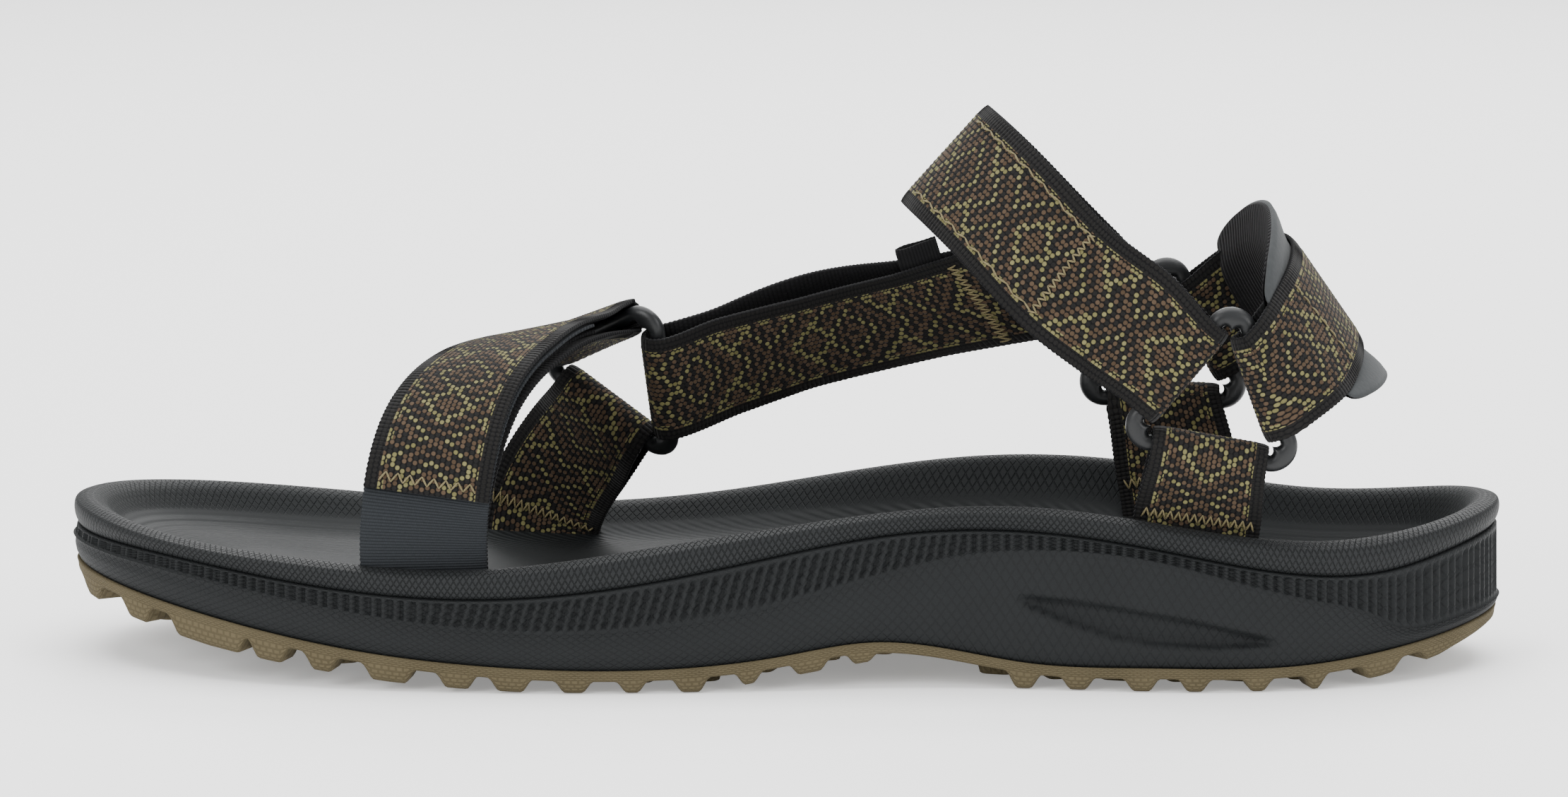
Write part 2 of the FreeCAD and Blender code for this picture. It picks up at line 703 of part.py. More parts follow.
# Slots in the footbed: place, long word, wide word, floor of the slot and turn.
SLOTS = {
    "toe_slot": ((-73.5, -41.6), "tail_slot", 10.5, 0.0),
    "toe_lateral_slot": ((-53.1, 42.1), "loop_slot", 8.0, 0.0),
    "medial_slot": ((83.3, -41.2), "loop_slot", 12.5, 0.0),
    "lateral_slot": ((85.6, 15.3), "loop_slot", 12.5, -11.0),
}
SHOCK_PAD_MIDDLE = (98.0, -13.0)
SHANK_MIDDLE = (24.0, -4.0)


def make_sole():
    """Rubber outsole, foam midsole, its two inserts, and the foam topsole."""
    prism = outline_prism("outer_prism")
    seat_prism = outline_prism("seat_prism", "seat_inset")
    cup_prism = outline_prism("cup_prism", "rim_width")
    plate_low = raised(OUTSOLE_TOP, -size("plate_thick"))
    plate = common("plate", prism, band("plate_band", plate_low, OUTSOLE_TOP))
    keep(fuse("outsole_body", [plate] + make_lugs()), "outsole")

    seat_low = raised(FOOTBED, -size("footbed_thick"))
    ceiling = level(FOOTBED, TALL)
    lower = common("lower_block", prism,
                   band("lower_band", OUTSOLE_TOP, PARTING_INNER, OUTSOLE_TOP, PARTING_OUTER))
    seat = common("seat", seat_prism, band("seat_band", seat_low, ceiling))
    midsole_blank = cut("midsole_blank", lower, seat)

    puck = doc.addObject("Part::Cylinder", "puck")
    puck.setExpression("Radius", "sizes.shock_pad_radius")
    puck.Height = 20.0
    puck.Placement = Placement(Vector(SHOCK_PAD_MIDDLE[0], SHOCK_PAD_MIDDLE[1], 9.5), Rotation())
    shock_pad = common("shock_pad", midsole_blank, puck)
    keep(shock_pad, "heel_shock_pad")
    bar_block = box("shank_block", SHANK_MIDDLE, "shank_long", "shank_wide", 0.0, TALL)
    shank_low = raised(FOOTBED, -size("footbed_thick") - size("shank_thick"))
    shank_band = common("shank_band", bar_block, band("shank_profile", shank_low, seat_low))
    shank = cut("shank", common("shank_piece", midsole_blank, shank_band), puck)
    keep(shank, "arch_shank")

    slots = []
    for name, (middle, wide, low, turn) in SLOTS.items():
        slots.append(box(name, middle, "slot_long", wide, low, TALL, turn))
    all_slots = fuse("all_slots", slots)
    pockets = fuse("pockets", [puck, shank_band, all_slots])
    keep(cut("midsole_body", midsole_blank, pockets), "midsole")

    block = common("rim_block", prism,
                   band("rim_band", OUTSOLE_TOP, RIM_INNER, OUTSOLE_TOP, RIM_OUTER))
    above = cut("above_midsole", block, midsole_blank)
    cup = common("cup", cup_prism, band("cup_band", FOOTBED, ceiling))
    hollow = cut("topsole_blank", above, cup)
    keep(cut("topsole_body", hollow, all_slots), "topsole")


TAB_START = Vector(31.5, 15.0, 79.0)
TAB_HEADING = Vector(-0.94, -0.04, -0.30)
TAB_ACROSS = Vector(-0.28, -0.30, 0.90)
TAB_OFF_STRAP = 3.4


def make_side_tab():
    """Small folded tab stitched on at the connector's upper corner."""
    stations = [
        Station(TAB_START + TAB_HEADING * reach, TAB_ACROSS, TAB_HEADING, FAR, FAR)
        for reach in (0.0, size("side_tab_long") / 2.0, size("side_tab_long"))
    ]
    sections = [s.moved(TAB_OFF_STRAP) for s in stations]
    strap("connector_side_tab", sections, "side_tab_long", "side_tab_long", "tape_thick")


make_sole()
make_toe_strap()
make_ankle_strap()
make_connector()
make_side_tab()
make_anchor_loops()
heel_stations = heel_route()
make_heel_strap(heel_stations)
make_heel_pad(heel_stations)
make_ring("medial_ring", MEDIAL_RING, MEDIAL_AXES)
make_ring("lateral_ring", LATERAL_RING, LATERAL_AXES)
make_ring("toe_ring", TOE_RING, TOE_AXES)

doc.recompute()

# ---------------------------------------------------------------- checks and export

for obj in doc.Objects:
    if "Invalid" in obj.State or "Error" in obj.State:
        raise RuntimeError(f"{obj.Name} could not be made: {obj.State}")
for part in parts:
    if part.Shape.isNull() or not part.Shape.isValid():
        raise RuntimeError(f"{part.Label} has no valid shape")

os.makedirs("parts", exist_ok=True)
for part in parts:
    part.Shape.exportStep(f"parts/{part.Label}.step")
    box_of = part.Shape.BoundBox
    print(f"{part.Label}: {len(part.Shape.Solids)} solid(s), {part.Shape.Volume / 1000.0:.2f} cm3, "
          f"z {box_of.ZMin:.1f} to {box_of.ZMax:.1f}")
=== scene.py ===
import json
import math
from functools import partialmethod

import bmesh
import bpy
import numpy as np
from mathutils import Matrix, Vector


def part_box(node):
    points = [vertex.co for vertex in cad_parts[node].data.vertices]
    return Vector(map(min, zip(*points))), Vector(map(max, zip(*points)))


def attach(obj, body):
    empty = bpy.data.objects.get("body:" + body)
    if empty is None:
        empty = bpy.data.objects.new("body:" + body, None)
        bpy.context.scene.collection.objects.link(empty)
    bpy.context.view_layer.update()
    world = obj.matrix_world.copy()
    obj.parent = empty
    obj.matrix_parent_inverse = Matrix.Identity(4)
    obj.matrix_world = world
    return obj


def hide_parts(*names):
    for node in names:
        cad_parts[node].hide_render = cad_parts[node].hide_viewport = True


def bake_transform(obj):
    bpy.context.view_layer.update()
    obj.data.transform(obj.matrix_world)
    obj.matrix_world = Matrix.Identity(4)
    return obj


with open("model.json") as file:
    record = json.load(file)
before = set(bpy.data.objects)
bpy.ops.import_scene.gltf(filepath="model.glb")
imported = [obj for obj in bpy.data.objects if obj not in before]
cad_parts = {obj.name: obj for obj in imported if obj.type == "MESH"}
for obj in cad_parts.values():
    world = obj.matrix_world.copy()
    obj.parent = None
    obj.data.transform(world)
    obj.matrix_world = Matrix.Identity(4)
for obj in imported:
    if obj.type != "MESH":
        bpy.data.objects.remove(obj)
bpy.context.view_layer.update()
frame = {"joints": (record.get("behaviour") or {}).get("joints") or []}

# Strappy sport sandal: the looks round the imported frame. Lengths below are millimetres, and
# meshes are made in metres. +X runs to the heel, -Y is the inner side, +Z is up.

MM = 0.001
CURVE_SAMPLES = 4000
joints = {joint["name"]: joint for joint in frame["joints"]}


def unit(rows):
    return rows / np.linalg.norm(rows, axis=-1, keepdims=True)


def smooth_step(share):
    share = np.clip(share, 0.0, 1.0)
    return share * share * (3.0 - 2.0 * share)


def direction(degrees):
    angle = math.radians(degrees)
    return np.array([math.cos(angle), math.sin(angle)])


def ramp(values, low, high):
    """0 below low, 1 above high, smooth between."""
    return smooth_step((values - low) / (high - low))


def bell(values, low, high, soft):
    """1 between low and high, with soft ends."""
    return ramp(values, low - soft, low + soft) * (1.0 - ramp(values, high - soft, high + soft))


def length_along(points):
    """How far each point of a line is from its start, along it."""
    return np.append(0.0, np.cumsum(np.linalg.norm(np.diff(points, axis=0), axis=1)))


def resampled(table, known, wanted):
    """The columns of a table read at wanted places, straight between its known ones."""
    columns = np.reshape(table, (len(known), -1)).T
    return np.stack([np.interp(wanted, known, column) for column in columns], -1)


def smooth_curve(points, closed=False, step=0.5):
    """Even samples of a cubic spline through points, and the length along it of each sample and point."""
    points = np.array(points, float)
    if closed:
        points = np.vstack([points, points[:1]])
    knots = length_along(points)
    steps = np.diff(knots)
    last = len(points) - 1
    slopes = np.diff(points, axis=0) / steps[:, None]
    matrix = np.zeros((last + 1, last + 1))
    bends = np.zeros_like(points)
    for i in range(1, last):
        matrix[i, i - 1:i + 2] = steps[i - 1], 2.0 * (steps[i - 1] + steps[i]), steps[i]
        bends[i] = 6.0 * (slopes[i] - slopes[i - 1])
    if closed:
        matrix[0, 0], matrix[0, last] = 1.0, -1.0
        matrix[last, :2] = 2.0 * steps[0], steps[0]
        matrix[last, -2:] = steps[-1], 2.0 * steps[-1]
        bends[last] = 6.0 * (slopes[0] - slopes[-1])
    else:
        matrix[0, 0] = matrix[last, last] = 1.0
    second = np.linalg.solve(matrix, bends)

    def at(places):
        i = np.clip(np.searchsorted(knots, places, side="right") - 1, 0, last - 1)
        wide = steps[i][:, None]
        after = ((places - knots[i]) / steps[i])[:, None]
        before = 1.0 - after
        straight = before * points[i] + after * points[i + 1]
        curved = (before ** 3 - before) * second[i] + (after ** 3 - after) * second[i + 1]
        return straight + curved * wide * wide / 6.0

    fine = np.linspace(0.0, knots[-1], CURVE_SAMPLES)
    gone = length_along(at(fine))
    count = max(8, int(round(gone[-1] / step)))
    wanted = np.linspace(0.0, gone[-1], count + 1)
    if closed:
        wanted = wanted[:-1]
    return at(np.interp(wanted, gone, fine)), wanted, np.interp(knots, fine, gone)


# ---- meshes

def mesh_piece(name, points, faces, materials, uv=None, face_material=None):
    """A smooth mesh object from points in millimetres and faces of three or more corners."""
    mesh = bpy.data.meshes.new(name)
    sizes = np.array([len(face) for face in faces], np.int32)
    corners = np.concatenate([np.asarray(face, np.int32) for face in faces])
    starts = np.concatenate([[0], np.cumsum(sizes)[:-1]])
    mesh.vertices.add(len(points))
    mesh.vertices.foreach_set("co", (np.asarray(points) * MM).astype(np.float32).ravel())
    mesh.loops.add(len(corners))
    mesh.loops.foreach_set("vertex_index", corners)
    mesh.polygons.add(len(sizes))
    mesh.polygons.foreach_set("loop_start", starts.astype(np.int32))
    if face_material is not None:
        mesh.polygons.foreach_set("material_index", np.asarray(face_material, np.int32))
    mesh.update(calc_edges=True)
    if uv is not None:
        layer = mesh.uv_layers.new(name="weave")
        layer.data.foreach_set("uv", (np.asarray(uv) * MM).astype(np.float32).ravel())
    mesh.polygons.foreach_set("use_smooth", np.ones(len(sizes), bool))
    mesh.validate()
    for material in materials:
        mesh.materials.append(material)
    piece = bpy.data.objects.new(name, mesh)
    bpy.context.scene.collection.objects.link(piece)
    return piece


def quad_grid(rows, columns, ring=True):
    """Quads between rows of points, and the row and the column that each starts at."""
    wide = columns if ring else columns - 1
    r, c = np.meshgrid(np.arange(rows - 1), np.arange(wide), indexing="ij")
    here, after = r * columns + c, r * columns + (c + 1) % columns
    return np.stack([here, after, after + columns, here + columns], -1).reshape(-1, 4), r, c


def tube_faces(first, rows, columns):
    """Quads round a tube of point rows that starts at a point number, and a cap at each end."""
    cap = np.arange(first, first + columns)
    return list(quad_grid(rows, columns)[0] + first) + [cap[::-1], cap + (rows - 1) * columns]


def grid_piece(name, points, materials, uv, ring=True, capped=True, spin=False, which=None):
    """A tube or band from rows of points: a ring closes round its columns, and caps close its ends."""
    rows, columns = points.shape[:2]
    quads, r, c = quad_grid(rows, columns, ring)
    corners = np.stack([uv[r, c], uv[r, c + 1], uv[r + 1, c + 1], uv[r + 1, c]], 2).reshape(-1, 4, 2)
    if spin:
        quads, corners = quads[:, ::-1], corners[:, ::-1]
    faces, corners = list(quads), [corners.reshape(-1, 2)]
    which = np.zeros(len(quads), int) if which is None else np.asarray(which)
    if capped:
        for row, flip in ((0, not spin), (rows - 1, spin)):
            order = np.arange(columns)[::-1] if flip else np.arange(columns)
            faces.append(order + row * columns)
            corners.append(uv[row, order])
            which = np.append(which, which.max())
    return mesh_piece(name, points.reshape(-1, 3), faces, materials, np.concatenate(corners), which)


# ---- materials

def feed(tree, node, sockets):
    """Link fields or outputs to a node's sockets, and set plain values on the others."""
    for name, value in sockets.items():
        source = getattr(value, "source", value)
        if isinstance(source, bpy.types.NodeSocket):
            tree.links.new(source, node.inputs[name])
        else:
            node.inputs[name].default_value = source


class Field:
    """A number that varies over a surface. Arithmetic on it adds Math nodes to its tree."""

    def __init__(self, tree, source):
        self.tree = tree
        self.source = source

    def node(self, operation, *others):
        math_node = self.tree.nodes.new("ShaderNodeMath")
        math_node.operation = operation
        feed(self.tree, math_node, dict(enumerate((self,) + others)))
        return Field(self.tree, math_node.outputs[0])

    __add__ = partialmethod(node, "ADD")
    __sub__ = partialmethod(node, "SUBTRACT")
    __mul__ = partialmethod(node, "MULTIPLY")
    __truediv__ = partialmethod(node, "DIVIDE")
    floor = partialmethod(node, "FLOOR")
    fract = partialmethod(node, "FRACT")
    root = partialmethod(node, "SQRT")
    size = partialmethod(node, "ABSOLUTE")
    below = partialmethod(node, "LESS_THAN")
    above = partialmethod(node, "GREATER_THAN")
    highest = partialmethod(node, "MAXIMUM")

    def inverse(self):
        return self * -1.0 + 1.0

    def wrapped(self, period):
        """The remainder, from 0 to the period."""
        return self.node("WRAP", period, 0.0)

    def centred(self):
        """The place within each whole step, from -0.5 to 0.5."""
        return self.fract() - 0.5

    def ridge(self):
        """A round ridge from 0 to 1 and back over each whole step."""
        place = self.centred()
        return place * place * -4.0 + 1.0

    def wave(self, period):
        """A smooth wave from 0 to 1."""
        return (self * (2.0 * math.pi / period)).node("SINE") * 0.5 + 0.5

    def rising(self, low, high):
        """0 below low, 1 above high, smooth between."""
        node = self.tree.nodes.new("ShaderNodeMapRange")
        node.interpolation_type = "SMOOTHSTEP"
        feed(self.tree, node, {"Value": self, "From Min": low, "From Max": high})
        return Field(self.tree, node.outputs["Result"])

    def falling(self, low, high):
        return self.rising(low, high).inverse()


class Look:
    """A material being built on a Principled shader."""

    def __init__(self, name, roughness, specular, sheen=0.0):
        self.material = bpy.data.materials.new(name)
        self.material.use_nodes = True
        self.tree = self.material.node_tree
        self.shader = self.tree.nodes["Principled BSDF"]
        feed(self.tree, self.shader, {
            "Roughness": roughness, "Specular IOR Level": specular,
            "Sheen Weight": sheen, "Sheen Roughness": 0.4,
        })

    def add(self, kind, sockets, **settings):
        """A new shader node, with its settings made and some of its sockets fed."""
        node = self.tree.nodes.new("ShaderNode" + kind)
        for name, value in settings.items():
            setattr(node, name, value)
        feed(self.tree, node, sockets)
        return node

    def split(self, vector):
        parts = self.add("SeparateXYZ", {0: vector}).outputs
        return [Field(self.tree, part) * (1.0 / MM) for part in parts]

    def weave(self):
        """The two coordinates of the strap's own map, in millimetres."""
        return self.split(self.add("UVMap", {}, uv_map="weave").outputs["UV"])[:2]

    def place(self):
        """The three coordinates of the frame, in millimetres."""
        return self.split(self.add("TexCoord", {}).outputs["Object"])

    def joined(self, *fields):
        return self.add("CombineXYZ", dict(enumerate(fields))).outputs[0]

    def noise(self, scale, detail, *fields):
        """Cloudy noise from 0 to 1: scale is in waves for each millimetre."""
        vector = self.joined(*fields)
        node = self.add("TexNoise", {"Vector": vector, "Scale": scale, "Detail": detail})
        return Field(self.tree, node.outputs["Fac"])

    def chance(self, *fields):
        """A random number from 0 to 1 for each whole set of coordinates."""
        node = self.add("TexWhiteNoise", {"Vector": self.joined(*fields)})
        return Field(self.tree, node.outputs["Value"])

    def mix(self, share, low, high):
        """A colour between two colours, each a tuple or the output of another mix."""
        low, high = [end + (1.0,) if isinstance(end, tuple) else end for end in (low, high)]
        return self.add("Mix", {"Factor": share, 6: low, 7: high}, data_type="RGBA").outputs[2]

    def finished(self, colour, relief, rough=None):
        """The material, with its colour, its fine bumps in millimetres and its roughness."""
        bump = self.add("Bump", {"Distance": MM, "Strength": 1.0, "Height": relief})
        feed(self.tree, self.shader, {"Base Color": colour, "Normal": bump.outputs["Normal"]})
        if rough:
            feed(self.tree, self.shader, {"Roughness": rough})
        return self.material


def lattice(along, up, long, high, edge):
    """Lozenges of a length and a height: 1 in the middle of each, down to 0 at its edges."""
    first = (along / long + up / high).centred()
    second = (along / long - up / high).centred()
    return first.size().highest(second.size()).falling(edge, 0.5)


BLACK_YARN = (0.0040, 0.0040, 0.0045)
# Painted highlight: the lighter black painted in the middle of each black float.
BLACK_FLOAT_HIGHLIGHT = (0.0110, 0.0105, 0.0100)
BROWN_YARN = (0.050, 0.033, 0.020)
BROWN_PALE = (0.074, 0.050, 0.032)
GOLD_YARN = (0.112, 0.103, 0.042)
GOLD_PALE = (0.160, 0.148, 0.066)
WEBBING_WIDE, SELVAGE = 25.0, 2.6
DOT_WIDE, DOT_LONG, SELVAGE_RIB = 1.1, 1.0, 0.95
# Rows and columns of the woven pattern.
REPEAT, CHEVRON_ROWS, MARGIN_ROWS = 18.0, 7.0, 5.0
MIDDLE_COLUMN, DIAMOND_SHIFT = 11.0, 8.0


def jacquard_look():
    """Patterned webbing: staggered floats on black, in nested chevrons with small diamonds between."""
    look = Look("jacquard_webbing", roughness=0.82, specular=0.10, sheen=0.05)
    across, along = look.weave()
    column = (across / DOT_WIDE).floor()
    stagger = column.wrapped(2.0) * 0.5
    length = along / DOT_LONG + stagger
    row = length.floor()
    middle_row = row - stagger
    # Every other block is the mirror of the one before it.
    block = (middle_row / REPEAT).floor().wrapped(2.0)
    off_centre = (column - MIDDLE_COLUMN).size()
    fold = off_centre + block * (off_centre * -2.0 + MIDDLE_COLUMN)
    climb = (middle_row + fold).wrapped(CHEVRON_ROWS)
    local_row = middle_row.wrapped(REPEAT) - REPEAT / 2.0
    diamond = (off_centre - block * DIAMOND_SHIFT).size() + local_row.size()
    # Each diamond is a brown core and a gold outline, and the chevrons keep clear of it.
    outside = diamond.below(5.6).inverse()
    outline = diamond.above(3.9) * diamond.below(5.1)
    gold = (climb.below(0.9) * outside).highest(outline)
    brown = climb.above(1.9) * climb.below(3.9) + climb.above(4.9) * climb.below(5.9)
    brown = (brown * outside).highest(diamond.below(2.6))
    edge = (across - WEBBING_WIDE / 2.0).size()
    field = edge.below(WEBBING_WIDE / 2.0 - SELVAGE)
    margin = edge.above(WEBBING_WIDE / 2.0 - SELVAGE - DOT_WIDE)
    gold = gold.highest(margin * row.wrapped(MARGIN_ROWS).below(1.6))
    dot_x = (across / DOT_WIDE).centred()
    dot_y = length.centred()
    dot = (dot_x * dot_x * 1.1 + dot_y * dot_y * 0.85).root().falling(0.36, 0.54)
    luck = look.chance(column, row, block)
    thread = look.mix(gold, look.mix(luck, BROWN_YARN, BROWN_PALE), look.mix(luck, GOLD_YARN, GOLD_PALE))
    shown = gold.highest(brown) * field
    # The black ground is painted lighter in the middle of each float, a painted highlight on the floats'
    # crowns.
    colour = look.mix(dot * shown, look.mix(dot, BLACK_YARN, BLACK_FLOAT_HIGHLIGHT), thread)
    rib = (along / SELVAGE_RIB).ridge() * field.inverse()
    fuzz = look.noise(2.4, 3.0, across, along, column)
    return look.finished(colour, dot * (shown * 0.10 + 0.10) * field + rib * 0.22 + fuzz * 0.05)


def ribbed_look(name, colour, pale, pitch, depth, roughness=0.85, strand_depth=0.0):
    """Plain woven tape with ribs across it, and fainter strands along it, with a painted highlight on their
    crests.
    """
    look = Look(name, roughness, specular=0.10, sheen=0.04)
    across, along = look.weave()
    rib = (along / pitch).ridge()
    strand = (across / (pitch * 0.8) + (along / pitch).floor() * 0.5).ridge()
    fuzz = look.noise(1.9, 3.0, across, along, across)
    # The crests of the ribs and strands are painted paler, a painted highlight varied at random by the fuzz.
    tone = look.mix((rib * 0.55 + strand * 0.25) * (fuzz + 0.35), colour, pale)
    return look.finished(tone, rib * depth + strand * strand_depth + fuzz * 0.05)


def foam_look(name, colour, pale, tile_long, tile_high, depth, roughness=0.55):
    """Moulded foam rubber: a fine lattice of scales with a painted highlight on each, and a slight bloom."""
    look = Look(name, roughness, specular=0.16)
    place = look.place()
    scale = lattice(*look.weave(), tile_long, tile_high, 0.34)
    bloom = look.noise(0.05, 4.0, *place)
    grain = look.noise(2.2, 2.0, *place)
    # Paler with the random bloom, and paler in the middle of each raised scale, a painted highlight on the
    # scales.
    tone = look.mix(bloom * 0.6 + scale * 0.25, colour, pale)
    return look.finished(tone, scale * depth + grain * 0.03, bloom * 0.12 + (roughness - 0.05))


def footbed_look():
    """The foot side of the foam: concentric ribs at toe and heel, lozenges on the wall, smooth between."""
    look = Look("footbed_foam", roughness=0.6, specular=0.14)
    along, inset = look.weave()
    x, y, z = look.place()
    ends, middle = x.size().rising(70.0, 92.0), x.size().falling(62.0, 78.0)
    concentric = inset.wave(2.3) * ends * inset.rising(9.0, 12.0) * inset.falling(30.0, 38.0)
    lozenge = lattice(along, inset, 1.8, 1.5, 0.36) * inset.falling(7.5, 10.0)
    ribs = (x * 0.8 + y).wave(1.9) * middle * inset.rising(9.0, 11.0) * inset.falling(20.0, 26.0)
    bloom = look.noise(0.045, 4.0, x, y, z)
    grain = look.noise(2.5, 2.0, x, y, z)
    # Paler with the random bloom, and paler in the middle of each wall lozenge, a painted highlight on the
    # lozenges.
    tone = look.mix(bloom * 0.7 + lozenge * 0.2, (0.0075, 0.0085, 0.009), (0.0150, 0.0170, 0.0175))
    relief = concentric * 0.22 + lozenge * 0.20 + ribs * 0.15 + grain * 0.03
    return look.finished(tone, relief, bloom * 0.15 + 0.52)


DASH_LONG, DASH_TALL = 1.5, 0.62


def rubber_look():
    """Olive-tan outsole rubber with woven dashes in rows, a painted highlight on each dash, and a little
    scuffing.
    """
    look = Look("tread_rubber", roughness=0.85, specular=0.12)
    along, up = look.weave()
    place = look.place()
    row = (up / DASH_TALL).floor()
    dash_x = (along / DASH_LONG + row.wrapped(2.0) * 0.5).centred()
    dash_y = (up / DASH_TALL).centred()
    dash = dash_x.size().falling(0.30, 0.46) * dash_y.size().falling(0.26, 0.46)
    dust = look.noise(0.10, 5.0, *place)
    grain = look.noise(1.6, 3.0, *place)
    tone = look.mix(dust, (0.052, 0.042, 0.023), (0.095, 0.078, 0.045))
    # The raised dashes are painted paler, a painted highlight on their tops.
    tone = look.mix(dash * 0.45, tone, (0.125, 0.103, 0.060))
    return look.finished(tone, dash * 0.12 + grain * 0.06)


def plastic_look():
    """Satin black moulded plastic with a faint spark-eroded grain."""
    look = Look("ring_plastic", roughness=0.38, specular=0.32)
    place = look.place()
    grain = look.noise(1.5, 3.0, *place)
    wear = look.noise(0.12, 3.0, *place)
    tone = look.mix(wear, (0.006, 0.0065, 0.007), (0.014, 0.015, 0.016))
    return look.finished(tone, grain * 0.035, wear * 0.16 + 0.30)


def microfibre_look():
    """Smooth grey synthetic suede."""
    look = Look("pad_microfibre", roughness=0.9, specular=0.10, sheen=0.08)
    place = look.place()
    nap = look.noise(0.9, 5.0, *place)
    patch = look.noise(0.08, 3.0, *place)
    tone = look.mix(nap * 0.5 + patch * 0.5, (0.028, 0.030, 0.031), (0.056, 0.060, 0.062))
    return look.finished(tone, nap * 0.09)


def thread_look():
    """Twisted gold sewing thread."""
    look = Look("gold_thread", roughness=0.7, specular=0.2, sheen=0.1)
    x, y, z = look.place()
    tone = look.mix(look.noise(0.5, 2.0, x, y, z), (0.110, 0.088, 0.040), (0.190, 0.160, 0.082))
    return look.finished(tone, (x + y + z).wave(0.5) * 0.06)


# The second colour of each ribbed look is a painted highlight, reached on the crests of its ribs and
# strands.
BLACK_TAPE, TAPE_PAINTED_HIGHLIGHT = (0.003, 0.003, 0.0035), (0.014, 0.014, 0.0145)
webbing_face = jacquard_look()
webbing_back = ribbed_look("webbing_back", BLACK_TAPE, (0.013, 0.013, 0.0135), pitch=1.0, depth=0.16,
                           strand_depth=0.05)
loop_face = ribbed_look("loop_pile", BLACK_TAPE, (0.012, 0.012, 0.0125), pitch=0.55, depth=0.12,
                        strand_depth=0.10)
hook_face = ribbed_look("hook_tape", (0.011, 0.0125, 0.0140), (0.030, 0.033, 0.037), pitch=0.6, depth=0.12)
side_tape = ribbed_look("side_tape", BLACK_TAPE, TAPE_PAINTED_HIGHLIGHT, pitch=0.7, depth=0.10)
lining_knit = ribbed_look("pad_lining", BLACK_TAPE, (0.014, 0.013, 0.014), pitch=1.3, depth=0.25,
                          roughness=0.9)
# The second colour of each foam look is reached with the random bloom and, in the middle of each scale, as a
# painted highlight.
rim_foam = foam_look("rim_foam", (0.0075, 0.0084, 0.0088), (0.0180, 0.0195, 0.0205),
                     tile_long=1.3, tile_high=2.2, depth=0.30)
wall_foam = foam_look("wall_foam", (0.0058, 0.0066, 0.0070), (0.0125, 0.0138, 0.0146),
                      tile_long=2.2, tile_high=2.2, depth=0.08, roughness=0.6)
footbed_foam = footbed_look()
tread = rubber_look()
plastic = plastic_look()
microfibre = microfibre_look()
gold_thread = thread_look()


# ---- sole: outline and heights

OUTLINE = [
    (-149, 2), (-141.5, -19), (-123, -35.5), (-99, -45.5), (-68, -51.2),
    (-35, -52.5), (0, -49.6), (25, -46.8), (52, -48), (80, -51.3),
    (106, -49), (129, -39.5), (144, -25), (149, -9), (144, 5),
    (130, 14.8), (109, 21.5), (84, 26.2), (60, 30), (34, 36.2),
    (6, 44.2), (-26, 50.4), (-56, 52.5), (-84, 51), (-110, 45.6),
    (-131, 35.2), (-144.5, 20),
]
OUTSOLE_TOP = [
    (-156, 20), (-139, 17), (-116, 12.6), (-86, 7.6), (-60, 5.2),
    (-20, 4.9), (0, 7), (18, 9.4), (32, 8.2), (50, 5.2),
    (75, 4.7), (104, 4.8), (128, 7.4), (156, 12.4),
]
PARTING_INNER = [
    (-156, 27), (-135, 26.6), (-100, 22.4), (-68, 20), (-40, 21.8),
    (-8, 27.7), (22, 33.2), (48, 33.7), (76, 30), (104, 24.6),
    (124, 24), (140, 27.4), (156, 30.5),
]
PARTING_OUTER = [
    (-156, 27), (-135, 25.2), (-100, 19.8), (-68, 16.8), (-40, 16.4),
    (-8, 19.6), (22, 25.2), (48, 29.6), (76, 29.4), (104, 25.8),
    (124, 24.8), (140, 27.4), (156, 30.5),
]
RIM_INNER = [
    (-156, 34), (-132, 29.2), (-98, 26.4), (-66, 25.2), (-34, 29.2),
    (0, 34.5), (24, 37.2), (47, 37.8), (71, 35.3), (97, 31.2),
    (113, 30.1), (132, 31.6), (156, 36),
]
RIM_OUTER = [
    (-156, 34), (-132, 30), (-100, 25.2), (-68, 21.8), (-38, 21.4),
    (-12, 24), (14, 29), (40, 33.8), (60, 35.4), (84, 34),
    (113, 30.6), (132, 31.8), (156, 36),
]
FOOTBED = [
    (-156, 28), (-140, 24.4), (-120, 20.4), (-95, 17), (-60, 15.6),
    (-28, 16.2), (0, 18.8), (30, 22), (60, 22.8), (90, 21.2),
    (115, 20.4), (140, 23), (156, 26),
]
GROUND = [
    (-146, 12.6), (-134, 10.2), (-119, 7), (-106, 4.9), (-95, 3.4),
    (-81, 1.7), (-67, 0.7), (-52, 0), (-16, 0), (-6, 1.6),
    (5, 3.4), (17, 5.4), (40, 1.6), (48, 0), (110, 0),
    (123, 1.6), (136, 4.4), (149, 9),
]
# Height of the slotted band under the parting line.
BAND_TALL = [
    (-150, 2.4), (-119, 3.5), (-97, 4.5), (-71, 6.2), (-40, 8.9), (-15, 10.5),
    (10, 9.8), (23, 8.2), (36, 6), (48, 4.6), (61, 3.5), (75, 2.9),
    (92, 3.9), (109, 6), (120, 9), (126, 12.5), (135, 14.6), (152, 16),
]
SIDE_REACH = 60.0
# The foam rim: each control is an inset, the shares of parting, rim and footbed heights, and a rise.
RIM_CROWN = (3.4, 0, 1, 0, 0)
RIM_SECTION = [
    (9, 0, 0, 1, -2.2), (2.4, 1, 0, 0, -1.3), (1.1, 1, 0, 0, -0.75), (0.30, 1, 0, 0, -0.15),
    (-0.40, 0.9, 0.1, 0, 0.5), (-0.70, 0.55, 0.45, 0, 0.3), (-0.35, 0.25, 0.75, 0, 0.1),
    (0.7, 0.08, 0.92, 0, -0.15), (2, 0, 1, 0, -0.1), RIM_CROWN, (4.8, 0, 0.96, 0.04, -0.1),
    (6.2, 0, 0.82, 0.18, 0), (8, 0, 0.54, 0.46, 0), (10, 0, 0.29, 0.71, 0), (13, 0, 0.10, 0.90, 0),
    (17, 0, 0.01, 0.99, 0),
]
